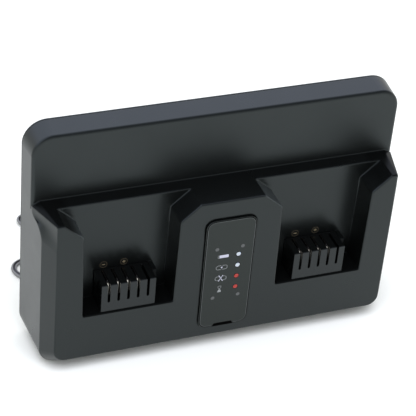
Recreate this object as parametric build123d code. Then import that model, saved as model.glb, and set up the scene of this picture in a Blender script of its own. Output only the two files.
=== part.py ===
from build123d import *
from math import atan2, dist, pi, radians, sqrt, tan
import os

# Dual bay battery charger, standing upright on its feet, all sizes in millimetres.
# X runs along the width, Z is up, and the back stands at +Y. A depth is measured
# forward from the back plane, so the front face lies at DEPTH.

# Case
WIDTH = 290.0
HEIGHT = 193.0
DEPTH = 56.0
WALL = 2.5
FOOT_HEIGHT = 2.0
SIDE_DEPTH = 43.0
SIDE_INSET = 4.0
BACK_RADIUS = 18.5
SIDE_RADIUS = 13.0
FACE_INSET = 12.0
FACE_BOTTOM = 12.0
FACE_RADIUS = 9.0
PLATE_DEPTH = 22.0
PLATE_FILLET = 2.5
FACE_FILLET = 1.0
LEDGE_Z = 137.0
SHOULDER_CURVE = ((43.4, 110.0), (41.6, 121.6), (32.5, 127.4), (21.5, 138.0))
CREST_BACK_INSET = 6.0
CREST_FRONT_INSET = 1.0
CREST_SLOPE = 0.5
CUT_MARGIN = 3.0

# Rear cover
REAR_RIM = 2.0
PARTING_GAP = 0.3
LIP_DEPTH = 3.0
LIP_WALL = 1.6
FIT = 0.2

# Bays, each with a land between it and the edge of the front face
BAY_WIDTH = 73.0
BAY_LAND = 19.8
BAY_CENTRE = WIDTH / 2 - FACE_INSET - BAY_LAND - BAY_WIDTH / 2
BAY_DRAFT = 1.2
BAY_FLOOR_Z = 51.0
BAY_BACK_DEPTH = 34.0
FLARE_WIDTH = 15.0
FLARE_HEIGHT = 13.0
FLARE_FILLET = 4.0
BAY_FILLET = 1.5

# Terminal blocks and blades
BLOCK_WIDTH = 42.0
BLOCK_HEIGHT = 24.6
BLOCK_FRONT_DEPTH = 54.6
SLOT_COUNT = 5
SLOT_PITCH = 7.6
SLOT_WIDTH = 2.1
SLOT_FLOOR = 8.7
SLOT_BACK_DEPTH = 36.0
BLOCK_EDGE = 0.6
KEY_WIDTH = 3.5
KEY_DEPTH = 45.0
PAD_HEIGHT = 4.0
PAD_RADIUS = 3.5
FLANGE_WALL = 2.0
FLANGE_EAR = 9.0
BLADE_COUNT = 4
BLADE_WALL = 0.8
BLADE_FRONT_DEPTH = 51.0
BLADE_PROUD = 0.5
BLADE_TAIL = 4.0
BLADE_TAIL_LENGTH = 5.5
BLADE_CLEARANCE = 0.1
BLADE_CORNER = 3.0

# Status panel
PANEL_WIDTH = 40.0
PANEL_BOTTOM = 20.4
PANEL_TOP = 121.5
PANEL_PROUD = 1.6
PANEL_RECESS = 1.0
PANEL_GAP = 0.5
PANEL_RADIUS = 7.0
PANEL_EDGE = 0.5
NOTCH_WIDTH = 18.0
NOTCH_TOP_WIDTH = 14.0
NOTCH_HEIGHT = 3.0
LED_X = 7.5
LED_TOP_Z = 87.8
LED_PITCH = 10.3
LED_RADIUS = 1.8
LED_FLANGE_RADIUS = 2.6
LED_FLANGE = 1.2
LED_NAMES = ("led_full", "led_charging", "led_fault", "led_wait")
STUD_RADIUS = 2.0
STUD_LENGTH = 3.0
STUD_HEIGHTS = (36.0, 108.0)

# Boards
BOARD_WALL = 1.6
MAIN_BOARD_WIDTH = 196.0
MAIN_BOARD_BOTTOM = 30.0
MAIN_BOARD_TOP = 122.0
STANDOFF = 3.5
STANDOFF_RADIUS = 3.5
STANDOFF_INSET = 6.0
STATUS_BOARD_WIDTH = 30.0
STATUS_BOARD_BOTTOM = 42.0
STATUS_BOARD_TOP = 104.0
STATUS_GAP = 4.6
STATUS_BOSS_X = -9.0
STATUS_BOSS_HEIGHTS = (48.0, 98.0)
CHIP_HEIGHT = 0.8
CHIP_WIDTH = 3.0

# Screws
SCREW_RADIUS = 1.5
SCREW_HEAD_RADIUS = 2.8
SCREW_HEAD = 2.0
SCREW_FIT = 0.2
CASE_SCREW_LENGTH = 14.0
BOARD_SCREW_LENGTH = 5.0
BOSS_RADIUS = 4.0
SOCKET_RADIUS = 4.6
SOCKET_DEPTH = 4.4
SCREW_INSET = 18.0
SCREW_TOP_INSET = 17.0
SCREW_CROWN_INSET = 12.0
SCREW_MIDDLE_Z = 84.0
SCREW_LOW_Z = 21.0

# Wall mounting holes and vents in the rear cover
KEYHOLE_X = 80.0
KEYHOLE_Z = 156.0
KEYHOLE_RADIUS = 5.0
KEYHOLE_SLOT = 4.4
KEYHOLE_TRAVEL = 9.0
VENT_COUNT = 9
VENT_PITCH = 6.0
VENT_WIDTH = 2.4
VENT_HEIGHT = 26.0
VENT_X = 60.0
VENT_ROWS = (62.0, 100.0)

# Feet
FOOT_RADIUS = 5.0
FOOT_X = 90.0
FOOT_DEPTHS = (9.0, 36.0)

# Parts on the main board
CORE_WIDTH = 36.0
CORE_HEIGHT = 34.0
CORE_WALL = 12.0
CORE_LEG = 9.0
CORE_YOKE = 6.0
TRANSFORMER_Z = 84.0
TRANSFORMER_DEPTH = 21.0
WINDING_RADIUS = 10.0
BOBBIN_WALL = 1.2
BOBBIN_WIDTH = 24.0
INPUT_CAP_RADIUS = 8.0
INPUT_CAP_LENGTH = 25.0
INPUT_CAP_SPOTS = ((-52.0, 39.2), (-34.0, 39.2))
OUTPUT_CAP_RADIUS = 5.0
OUTPUT_CAP_LENGTH = 16.0
OUTPUT_CAP_SPOTS = ((34.0, 40.0), (48.0, 40.0), (62.0, 40.0), (76.0, 40.0))
CAP_EDGE = 0.8
CHOKE_SPOT = (-38.0, 72.0)
CHOKE_RADIUS = 9.0
CHOKE_SECTION = 3.6
FUSE_SPOT = (-78.0, 48.0)
FUSE_RADIUS = 2.6
FUSE_LENGTH = 20.0
FUSE_CAP = 4.5
CLIP_WALL = 0.8
SINK_X = 62.0
SINK_Z = 98.0
SINK_WIDTH = 42.0
SINK_WALL = 2.5
SINK_REACH = 20.0
FIN_COUNT = 6
FIN_WALL = 1.4
FIN_HEIGHT = 10.0
TRANSISTOR_WIDTH = 10.2
TRANSISTOR_WALL = 4.5
TRANSISTOR_LENGTH = 15.0
LEG_LENGTH = 4.0
LEG_WALL = 0.9
LEG_PITCH = 2.54
WIRE_RADIUS = 1.0
WIRE_BEND = 2.5
WIRE_HEIGHT = 8.0
WIRE_DROP = 7.0
RIBBON_WIDTH = 14.0
RIBBON_WALL = 1.0
RIBBON_Z = 66.0
RIBBON_X = -6.0

# Recess in the rear cover, in which the cord leaves downward, so that the back can lie on a wall
CORD_X = -110.0
CORD_DEPTH = 10.0
POCKET_WIDTH = 17.0
POCKET_DEPTH = 20.0
POCKET_TOP_Z = 52.0
POCKET_RADIUS = 2.0

# Cord, plug and strain relief. Their points are (x, behind the back plane, z).
CORD_RADIUS = 2.4
RELIEF_LENGTH = 24.0
RELIEF_ROOT_RADIUS = 5.5
RELIEF_TIP_RADIUS = 3.4
RELIEF_FLANGE = 2.0
RELIEF_FLANGE_RADIUS = 7.0
RELIEF_GROOVES = 4
GROOVE_PITCH = 4.6
GROOVE_WIDTH = 1.6
FLOOR_Z = 2.45
HANK_LOW_Z = 3.4
HANK_HIGH_Z = 8.8
PLUG_Z = 6.6
TAIL_POINTS = ((CORD_X, -CORD_DEPTH, POCKET_TOP_Z - RELIEF_LENGTH), (CORD_X, -CORD_DEPTH, 13.0),
               (CORD_X, 0.6, FLOOR_Z), (-111.5, 15.0, FLOOR_Z), (-118.0, 31.0, FLOOR_Z),
               (-126.6, 46.0, FLOOR_Z), (-129.1, 61.2, FLOOR_Z), (-129.1, 75.4, FLOOR_Z),
               (-119.2, 85.3, FLOOR_Z), (-107.0, 85.3, FLOOR_Z), (-97.1, 75.4, HANK_LOW_Z),
               (-97.1, 63.1, HANK_LOW_Z))
INNER_LEAD_RISE = 10.0
INNER_LEAD_DEPTH = 16.0
INNER_LEAD_END = (-90.0, 76.0)
HANK_CENTRE = (-42.6, 58.3)
HANK_HALF_LENGTH = 54.5
HANK_END_RADIUS = 29.5
HANK_WAIST = 22.0
HANK_QUARTERS = 11
HANK_STEP = 5.4
HANK_WAIST_STEP = 7.2
TIE_WALL = 0.6
TIE_WIDTH = 6.0
TIE_GAP = 0.5
LEAD_BENDS = ((-84.0, 106.0, 4.0), (-97.4, 115.5, FLOOR_Z), (-107.0, 124.6, FLOOR_Z),
              (-107.0, 137.6, 4.0), (-97.4, 146.5, PLUG_Z), (-83.6, 146.5, PLUG_Z))
PLUG_NECK = 12.0
PLUG_NECK_RADIUS = 4.0
PLUG_LENGTH = 26.0
PLUG_WIDTH = 23.0
PLUG_HEIGHT = 13.0
PLUG_RADIUS = 3.0
PLUG_ROOT_WIDTH = 14.0
PLUG_ROOT_HEIGHT = 10.4
PLUG_SHOULDER = 8.7
PIN_SPACING = 12.7
PIN_WIDTH = 6.3
PIN_WALL = 1.5
PIN_LENGTH = 16.5

os.makedirs("parts", exist_ok=True)

BACK_Y = (DEPTH + PANEL_PROUD) / 2
FACE_HALF = WIDTH / 2 - FACE_INSET
KNEE_HALF = WIDTH / 2 - SIDE_INSET
BLOCK_TOP_Z = BAY_FLOOR_Z + BLOCK_HEIGHT
PANEL_DEPTH = DEPTH + PANEL_PROUD
RECESS_DEPTH = DEPTH - PANEL_RECESS
BLOCK_REAR_DEPTH = BAY_BACK_DEPTH - WALL - PAD_HEIGHT
BLADE_TAIL_Z = BAY_FLOOR_Z + BLOCK_HEIGHT / 2 - BLADE_TAIL / 2
MAIN_BOARD_DEPTH = WALL + STANDOFF
BOARD_FACE = MAIN_BOARD_DEPTH + BOARD_WALL
STATUS_BOARD_DEPTH = DEPTH - WALL - STATUS_GAP - BOARD_WALL
SCREW_X = WIDTH / 2 - SCREW_INSET
CASE_SCREW_SPOTS = [(x, z) for x in (-SCREW_X, SCREW_X)
                    for z in (HEIGHT - SCREW_TOP_INSET, SCREW_MIDDLE_Z, SCREW_LOW_Z)]
CASE_SCREW_SPOTS += [(0, HEIGHT - SCREW_CROWN_INSET), (0, SCREW_LOW_Z)]


def y_at(depth):
    return BACK_Y - depth


def plane_at(depth):
    return Plane(origin=(0, y_at(depth), 0), x_dir=(1, 0, 0), z_dir=(0, -1, 0))


def slab(x_low, x_high, depth_low, depth_high, z_low, z_high):
    centre = ((x_low + x_high) / 2, y_at((depth_low + depth_high) / 2), (z_low + z_high) / 2)
    return Pos(*centre) * Box(x_high - x_low, depth_high - depth_low, z_high - z_low)


def rod(x, z, radius, depth_low, depth_high):
    return extrude(plane_at(depth_low) * Pos(x, z) * Circle(radius), depth_high - depth_low)


def case_section(depth, inset):
    # Rounded outline of the case at a depth, drafted back of the knee and chamfered in front
    if depth <= SIDE_DEPTH:
        draft = SIDE_INSET * depth / SIDE_DEPTH
        half = WIDTH / 2 - draft - inset
        bottom = FOOT_HEIGHT + inset
        radius = BACK_RADIUS + (SIDE_RADIUS - BACK_RADIUS) * depth / SIDE_DEPTH - inset
        top = HEIGHT - draft - inset
    else:
        side_slope = (KNEE_HALF - FACE_HALF) / (DEPTH - SIDE_DEPTH)
        foot_slope = (FACE_BOTTOM - FOOT_HEIGHT) / (DEPTH - SIDE_DEPTH)
        half = FACE_HALF + side_slope * (DEPTH - depth) - inset * sqrt(1 + side_slope ** 2)
        bottom = FACE_BOTTOM - foot_slope * (DEPTH - depth) + inset * sqrt(1 + foot_slope ** 2)
        radius = FACE_RADIUS - inset / 2
        top = HEIGHT - FACE_INSET - inset
    shape = Pos(0, (bottom + top) / 2) * RectangleRounded(2 * half, top - bottom, radius)
    return plane_at(depth) * shape


def side_point(side, depth, z):
    return (side * (WIDTH / 2 - SIDE_INSET * depth / SIDE_DEPTH), y_at(depth), z)


def shoulder_cut(side):
    # Ruled face from the curved edge on the side to the straight edge of the front face,
    # carried a little past both and swept outwards into the solid that is cut away
    flank_curve = []
    front_curve = []
    for depth, z in SHOULDER_CURVE:
        flank = Vector(*side_point(side, depth, z))
        front = Vector(side * FACE_HALF, y_at(DEPTH), z)
        past = (flank - front).normalized() * CUT_MARGIN
        flank_curve.append(flank + past)
        front_curve.append(front - past)
    upright = (0, 0, 1)
    flank_edge = Edge.make_spline(flank_curve, tangents=[upright, upright])
    front_edge = Edge.make_spline(front_curve, tangents=[upright, upright])
    face = Face.make_surface_from_curves(flank_edge, front_edge)
    return extrude(face, amount=FACE_INSET + WALL, dir=(side, 0, 0))


def crest_section(side, depth, half):
    # Outer corner that is bevelled off the top of a shoulder, seen from the front
    far = half + 2 * FACE_INSET
    drop = CREST_SLOPE * (far - half)
    corners = [(half, LEDGE_Z), (far, LEDGE_Z - drop), (far, LEDGE_Z + drop), (half, LEDGE_Z + drop)]
    return plane_at(depth) * make_face(Polyline(*[(side * x, z) for x, z in corners], close=True))


def crest_cut(side):
    back_half = side_point(1, PLATE_DEPTH, 0)[0] - CREST_BACK_INSET
    front_half = FACE_HALF - CREST_FRONT_INSET
    return loft([crest_section(side, PLATE_DEPTH, back_half), crest_section(side, DEPTH, front_half)])


def bay_profile():
    # Front view of a bay about its own centre: a drafted box with flares at its open mouth
    floor_half = BAY_WIDTH / 2 - BAY_DRAFT
    throat_half = BAY_WIDTH / 2
    throat_z = LEDGE_Z - FLARE_HEIGHT
    mouth_half = throat_half + FLARE_WIDTH
    open_z = LEDGE_Z + 2 * WALL
    right = [(floor_half, BAY_FLOOR_Z), (throat_half, throat_z), (mouth_half, LEDGE_Z),
             (mouth_half, open_z)]
    left = [(-x, z) for x, z in reversed(right)]
    shape = make_face(Polyline(*right, *left, close=True))
    throat = shape.vertices().filter_by_position(Axis.Y, throat_z - 1, throat_z + 1)
    shape = fillet(throat, FLARE_FILLET)
    floor = shape.vertices().group_by(Axis.Y)[0]
    return fillet(floor, BAY_FILLET)


def bay(side, grow=0.0):
    profile = bay_profile()
    if grow > 0:
        profile = offset(profile, grow)
    start = BAY_BACK_DEPTH - grow
    return extrude(plane_at(start) * Pos(side * BAY_CENTRE, 0) * profile, DEPTH + WALL - start)


def inner_space():
    # Hollow of the front cover: behind the plate, inside the block and inside its shoulders
    low_z = SHOULDER_CURVE[0][1] - WALL
    knee = SIDE_DEPTH - WALL / 2
    space = loft([case_section(REAR_RIM, WALL), case_section(PLATE_DEPTH - WALL, WALL)])
    block = loft([case_section(REAR_RIM, WALL), case_section(knee, WALL)])
    block += loft([case_section(knee, WALL), case_section(DEPTH - WALL, WALL)])
    space += block & slab(-WIDTH, WIDTH, 0, DEPTH, 0, low_z)
    back = PLATE_DEPTH - WALL - FIT
    back_half = side_point(1, PLATE_DEPTH, 0)[0] - CREST_BACK_INSET
    front_half = FACE_HALF - WALL
    corners = [(-back_half, y_at(back)), (back_half, y_at(back)),
               (front_half, y_at(DEPTH - WALL)), (-front_half, y_at(DEPTH - WALL))]
    shoulders = extrude(make_face(Polyline(*corners, close=True)), LEDGE_Z - WALL - low_z)
    space += Pos(0, 0, low_z) * shoulders
    for side in (-1, 1):
        space -= bay(side, WALL)
    return space


def panel_outline(grow):
    width = PANEL_WIDTH + 2 * grow
    height = PANEL_TOP - PANEL_BOTTOM + 2 * grow
    middle = (PANEL_TOP + PANEL_BOTTOM) / 2
    return Pos(0, middle) * RectangleRounded(width, height, PANEL_RADIUS + grow)


def led_heights():
    return [LED_TOP_Z - LED_PITCH * row for row in range(len(LED_NAMES))]


def block_screw_spots():
    reach = BLOCK_WIDTH / 2 + FLANGE_EAR - PAD_RADIUS
    middle = BAY_FLOOR_Z + BLOCK_HEIGHT / 2
    return [(side * BAY_CENTRE + step * reach, middle) for side in (-1, 1) for step in (-1, 1)]


def front_cover():
    rear = REAR_RIM + PARTING_GAP
    plate = loft([case_section(rear, 0), case_section(PLATE_DEPTH, 0)])
    plate = fillet(plate.faces().sort_by(Axis.Y)[0].edges(), PLATE_FILLET)
    block = loft([case_section(rear, 0), case_section(SIDE_DEPTH, 0)])
    block += loft([case_section(SIDE_DEPTH, 0), case_section(DEPTH, 0)])
    kept = slab(-WIDTH, WIDTH, 0, DEPTH, 0, LEDGE_Z - CREST_BACK_INSET)
    kept += slab(-WIDTH, WIDTH, PLATE_DEPTH, DEPTH, 0, LEDGE_Z)
    block = block & kept
    for side in (-1, 1):
        block -= crest_cut(side)
        block -= bay(side)
    block = fillet(block.faces().sort_by(Axis.Y)[0].edges(), FACE_FILLET)
    for side in (-1, 1):
        block -= shoulder_cut(side)
    cover = plate + block - inner_space()
    for side in (-1, 1):
        cover -= bay(side)
        cover -= block_opening(side)
        cover += key_rib(side)
    for x, z in CASE_SCREW_SPOTS:
        front = PLATE_DEPTH if z > LEDGE_Z else DEPTH
        cover += rod(x, z, BOSS_RADIUS, SOCKET_DEPTH + FIT, front - WALL / 2)
        cover -= rod(x, z, SCREW_RADIUS, SOCKET_DEPTH, CASE_SCREW_LENGTH + SOCKET_DEPTH)
    for x, z in block_screw_spots():
        cover += rod(x, z, PAD_RADIUS, BLOCK_REAR_DEPTH, BAY_BACK_DEPTH - WALL / 2)
        cover -= rod(x, z, SCREW_RADIUS, BLOCK_REAR_DEPTH - FIT, BAY_BACK_DEPTH - WALL / 2)
    for z in STATUS_BOSS_HEIGHTS:
        cover += rod(STATUS_BOSS_X, z, PAD_RADIUS, STATUS_BOARD_DEPTH + BOARD_WALL, DEPTH - WALL / 2)
        cover -= rod(STATUS_BOSS_X, z, SCREW_RADIUS, STATUS_BOARD_DEPTH, RECESS_DEPTH - WALL / 2)
    cover -= extrude(plane_at(RECESS_DEPTH) * panel_outline(PANEL_GAP), 2 * PANEL_RECESS)
    for z in led_heights():
        cover -= rod(LED_X, z, LED_RADIUS + FIT, DEPTH - 2 * WALL, DEPTH)
    for z in STUD_HEIGHTS:
        cover -= rod(0, z, STUD_RADIUS + FIT, DEPTH - 2 * WALL, DEPTH)
    pry = NOTCH_TOP_WIDTH / 2
    cover -= slab(-pry, pry, DEPTH - 2 * WALL, DEPTH, PANEL_BOTTOM, PANEL_BOTTOM + NOTCH_HEIGHT)
    return cover - pocket(0)


def pocket(grow):
    # Recess behind the cord's outlet, open to the back and through the foot of the case
    height = POCKET_TOP_Z + POCKET_WIDTH + 2 * grow
    middle = POCKET_TOP_Z + grow - height / 2
    outline = RectangleRounded(POCKET_WIDTH + 2 * grow, height, POCKET_RADIUS + grow)
    return extrude(plane_at(-WALL) * Pos(CORD_X, middle) * outline, POCKET_DEPTH + grow + WALL)


def pocket_shell():
    low_z = FOOT_HEIGHT + WALL + FIT
    return pocket(REAR_RIM) & slab(-WIDTH, WIDTH, REAR_RIM / 2, DEPTH, low_z, HEIGHT)


def relief_plane(z):
    return Plane(origin=(CORD_X, y_at(CORD_DEPTH), z), x_dir=(1, 0, 0), z_dir=(0, 0, -1))


def block_opening(side):
    half = BLOCK_WIDTH / 2 + FIT
    middle = side * BAY_CENTRE
    return slab(middle - half, middle + half, BAY_BACK_DEPTH - 2 * WALL, BAY_BACK_DEPTH + WALL,
                BAY_FLOOR_Z, BLOCK_TOP_Z + FIT)


def key_rib(side):
    low_x = side * BAY_CENTRE + BLOCK_WIDTH / 2 + FIT
    return slab(low_x, low_x + KEY_WIDTH - FIT, BAY_BACK_DEPTH - WALL / 2, KEY_DEPTH,
                BAY_FLOOR_Z - WALL / 2, BLOCK_TOP_Z)


def keyhole(x):
    head = rod(x, KEYHOLE_Z, KEYHOLE_RADIUS, -WALL, 2 * WALL)
    end_z = KEYHOLE_Z + KEYHOLE_TRAVEL
    neck = slab(x - KEYHOLE_SLOT / 2, x + KEYHOLE_SLOT / 2, -WALL, 2 * WALL, KEYHOLE_Z, end_z)
    return head + neck + rod(x, end_z, KEYHOLE_SLOT / 2, -WALL, 2 * WALL)


def rear_cover():
    inset = WALL + FIT
    cover = loft([case_section(0, 0), case_section(REAR_RIM, 0)])
    cover = fillet(cover.faces().sort_by(Axis.Y)[-1].edges(), REAR_RIM / 2)
    lip_end = REAR_RIM + LIP_DEPTH
    cover += loft([case_section(REAR_RIM, inset), case_section(lip_end, inset)])
    floor = slab(-WIDTH, WIDTH, WALL, DEPTH, 0, HEIGHT)
    inner = inset + LIP_WALL
    cover -= floor & loft([case_section(REAR_RIM, inner), case_section(lip_end + FIT, inner)])
    for x, z in CASE_SCREW_SPOTS:
        cover += rod(x, z, SOCKET_RADIUS, REAR_RIM, SOCKET_DEPTH)
        cover -= rod(x, z, SCREW_HEAD_RADIUS + FIT, -FIT, SCREW_HEAD + FIT)
        cover -= rod(x, z, SCREW_RADIUS + SCREW_FIT, 0, DEPTH)
    for x, z in board_screw_spots():
        cover += rod(x, z, STANDOFF_RADIUS, REAR_RIM, WALL + STANDOFF)
        cover -= rod(x, z, SCREW_RADIUS, WALL, DEPTH)
    for side in (-1, 1):
        cover -= keyhole(side * KEYHOLE_X)
        for z in VENT_ROWS:
            for column in range(VENT_COUNT):
                x = side * VENT_X + (column - (VENT_COUNT - 1) / 2) * VENT_PITCH
                shape = Pos(x, z) * SlotOverall(VENT_HEIGHT, VENT_WIDTH, rotation=90)
                cover -= extrude(plane_at(-FIT) * shape, 2 * WALL)
    cover = cover + pocket_shell() - pocket(0)
    return cover - relief_plane(POCKET_TOP_Z + REAR_RIM / 2) * Cylinder(RELIEF_ROOT_RADIUS, 2 * REAR_RIM)


def status_panel():
    panel = extrude(plane_at(RECESS_DEPTH) * panel_outline(0), PANEL_DEPTH - RECESS_DEPTH)
    panel = fillet(panel.faces().sort_by(Axis.Y)[0].edges(), PANEL_EDGE)
    half = NOTCH_WIDTH / 2
    top_half = NOTCH_TOP_WIDTH / 2
    top_z = PANEL_BOTTOM + NOTCH_HEIGHT
    corners = [(-half, PANEL_BOTTOM - 1), (half, PANEL_BOTTOM - 1), (half, PANEL_BOTTOM),
               (top_half, top_z), (-top_half, top_z), (-half, PANEL_BOTTOM)]
    notch = make_face(Polyline(*corners, close=True))
    panel -= extrude(plane_at(DEPTH - WALL) * notch, 2 * WALL)
    for z in led_heights():
        panel -= rod(LED_X, z, LED_RADIUS + FIT, DEPTH - WALL, PANEL_DEPTH + FIT)
    for z in STUD_HEIGHTS:
        panel += rod(0, z, STUD_RADIUS, RECESS_DEPTH - STUD_LENGTH, RECESS_DEPTH + PANEL_EDGE)
    return panel


def light_pipe(z):
    back = STATUS_BOARD_DEPTH + BOARD_WALL + CHIP_HEIGHT
    flange = rod(LED_X, z, LED_FLANGE_RADIUS, DEPTH - WALL - LED_FLANGE, DEPTH - WALL)
    stem = rod(LED_X, z, LED_RADIUS, back, PANEL_DEPTH)
    return stem + flange


def screw(x, z, head_depth, length):
    # Pan head screw driven forward, its head lying behind head_depth
    head = rod(x, z, SCREW_HEAD_RADIUS, head_depth - SCREW_HEAD, head_depth)
    head = fillet(head.edges().sort_by(Axis.Y)[-1], SCREW_HEAD / 2)
    socket = plane_at(head_depth - SCREW_HEAD) * Pos(x, z)
    cross = Rectangle(SCREW_RADIUS * 2, SCREW_HEAD / 4) + Rectangle(SCREW_HEAD / 4, SCREW_RADIUS * 2)
    shank = rod(x, z, SCREW_RADIUS, head_depth, head_depth + length)
    return head + shank - extrude(socket * cross, SCREW_HEAD / 2)


def front_screw(x, z, head_depth, length):
    # Screw driven backward into a standoff, its head lying in front of head_depth
    head = rod(x, z, SCREW_HEAD_RADIUS, head_depth, head_depth + SCREW_HEAD)
    head = fillet(head.edges().sort_by(Axis.Y)[0], SCREW_HEAD / 2)
    return head + rod(x, z, SCREW_RADIUS, head_depth - length, head_depth)


def board_screw_spots():
    half = MAIN_BOARD_WIDTH / 2 - STANDOFF_INSET
    heights = (MAIN_BOARD_BOTTOM + STANDOFF_INSET, MAIN_BOARD_TOP - STANDOFF_INSET)
    return [(side * half, z) for side in (-1, 1) for z in heights]


def main_board():
    half = MAIN_BOARD_WIDTH / 2
    board = slab(-half, half, MAIN_BOARD_DEPTH, BOARD_FACE, MAIN_BOARD_BOTTOM, MAIN_BOARD_TOP)
    for x, z in board_screw_spots():
        board -= rod(x, z, SCREW_RADIUS + SCREW_FIT, 0, DEPTH)
    return board


def status_board():
    half = STATUS_BOARD_WIDTH / 2
    face = STATUS_BOARD_DEPTH + BOARD_WALL
    board = slab(-half, half, STATUS_BOARD_DEPTH, face, STATUS_BOARD_BOTTOM, STATUS_BOARD_TOP)
    for z in STATUS_BOSS_HEIGHTS:
        board -= rod(STATUS_BOSS_X, z, SCREW_RADIUS + SCREW_FIT, 0, DEPTH)
    chip = CHIP_WIDTH / 2
    for z in led_heights():
        board += slab(LED_X - chip, LED_X + chip, face - FIT, face + CHIP_HEIGHT, z - chip, z + chip)
    return board


def slot_centres(side):
    middle = side * BAY_CENTRE
    return [middle + (index - (SLOT_COUNT - 1) / 2) * SLOT_PITCH for index in range(SLOT_COUNT)]


def terminal_block(side):
    middle = side * BAY_CENTRE
    half = BLOCK_WIDTH / 2
    ear = half + FLANGE_EAR
    body = slab(middle - half, middle + half, BLOCK_REAR_DEPTH - FLANGE_WALL, BLOCK_FRONT_DEPTH,
                BAY_FLOOR_Z, BLOCK_TOP_Z)
    front_edges = body.faces().sort_by(Axis.Y)[0].edges().filter_by(Axis.Z, reverse=True)
    body = fillet(front_edges.sort_by(Axis.Z)[-1], BLOCK_EDGE)
    ear_z = BAY_FLOOR_Z + BLOCK_HEIGHT / 2
    body += slab(middle - ear, middle + ear, BLOCK_REAR_DEPTH - FLANGE_WALL, BLOCK_REAR_DEPTH,
                 ear_z - PAD_RADIUS * 1.5, ear_z + PAD_RADIUS * 1.5)
    floor_z = BAY_FLOOR_Z + SLOT_FLOOR
    for x in slot_centres(side):
        shape = Pos(x, BLOCK_TOP_Z) * SlotOverall(2 * (BLOCK_TOP_Z - floor_z), SLOT_WIDTH, rotation=90)
        body -= extrude(plane_at(SLOT_BACK_DEPTH) * shape, BLOCK_FRONT_DEPTH)
    for x in slot_centres(side)[:BLADE_COUNT]:
        width = BLADE_WALL / 2 + BLADE_CLEARANCE
        low_z = BLADE_TAIL_Z - BLADE_CLEARANCE
        body -= slab(x - width, x + width, 0, SLOT_BACK_DEPTH + FIT, low_z,
                     BLADE_TAIL_Z + BLADE_TAIL + BLADE_CLEARANCE)
    for step in (-1, 1):
        x = middle + step * (ear - PAD_RADIUS)
        body -= rod(x, ear_z, SCREW_RADIUS + SCREW_FIT, 0, BAY_BACK_DEPTH - WALL)
    return body


def blade(x):
    # Flat spring blade with a rounded upper front corner and a solder tail behind the block
    low_z = BAY_FLOOR_Z + SLOT_FLOOR + FIT
    back = SLOT_BACK_DEPTH + FIT
    top_z = BLOCK_TOP_Z + BLADE_PROUD
    plate = slab(x - BLADE_WALL / 2, x + BLADE_WALL / 2, back, BLADE_FRONT_DEPTH, low_z, top_z)
    front = plate.edges().filter_by(Axis.X).sort_by(Axis.Y)[:2].sort_by(Axis.Z)[-1]
    plate = fillet(front, BLADE_CORNER)
    tail_back = BLOCK_REAR_DEPTH - FLANGE_WALL - BLADE_TAIL_LENGTH
    return plate + slab(x - BLADE_WALL / 2, x + BLADE_WALL / 2, tail_back, back + FIT,
                        BLADE_TAIL_Z, BLADE_TAIL_Z + BLADE_TAIL)


def contacts(side):
    return Part(children=[blade(x) for x in slot_centres(side)[:BLADE_COUNT]])


def bent_path(points, radii):
    return FilletPolyline(*points, radius=radii)


def tube(path, radius):
    start = Plane(origin=path @ 0, z_dir=path % 0)
    return sweep(start * Circle(radius), path=path)


def contact_wires(side):
    # One wire from the solder tail of each blade back to the main board
    wires = []
    tail_y = y_at(BLOCK_REAR_DEPTH - FLANGE_WALL - BLADE_TAIL_LENGTH)
    turn_y = y_at(BOARD_FACE + WIRE_HEIGHT)
    high_z = BLADE_TAIL_Z + BLADE_TAIL / 2
    for x in slot_centres(side)[:BLADE_COUNT]:
        points = [(x, tail_y, high_z), (x, turn_y, high_z), (x, turn_y, high_z - WIRE_DROP),
                  (x, y_at(BOARD_FACE), high_z - WIRE_DROP)]
        wires.append(tube(bent_path(points, WIRE_BEND), WIRE_RADIUS))
    return Part(children=wires)


def ribbon_cable():
    # Flat lead from the back of the status board to the main board, with one lazy bend
    middle_y = y_at((STATUS_BOARD_DEPTH + BOARD_FACE) / 2)
    points = [(RIBBON_X, y_at(STATUS_BOARD_DEPTH), RIBBON_Z), (RIBBON_X, middle_y, RIBBON_Z),
              (RIBBON_X, middle_y, RIBBON_Z - RIBBON_WIDTH),
              (RIBBON_X, y_at(BOARD_FACE), RIBBON_Z - RIBBON_WIDTH)]
    path = bent_path(points, RIBBON_WIDTH / 3)
    start = Plane(origin=path @ 0, x_dir=(1, 0, 0), z_dir=path % 0)
    return sweep(start * Rectangle(RIBBON_WIDTH, RIBBON_WALL), path=path)


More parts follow.
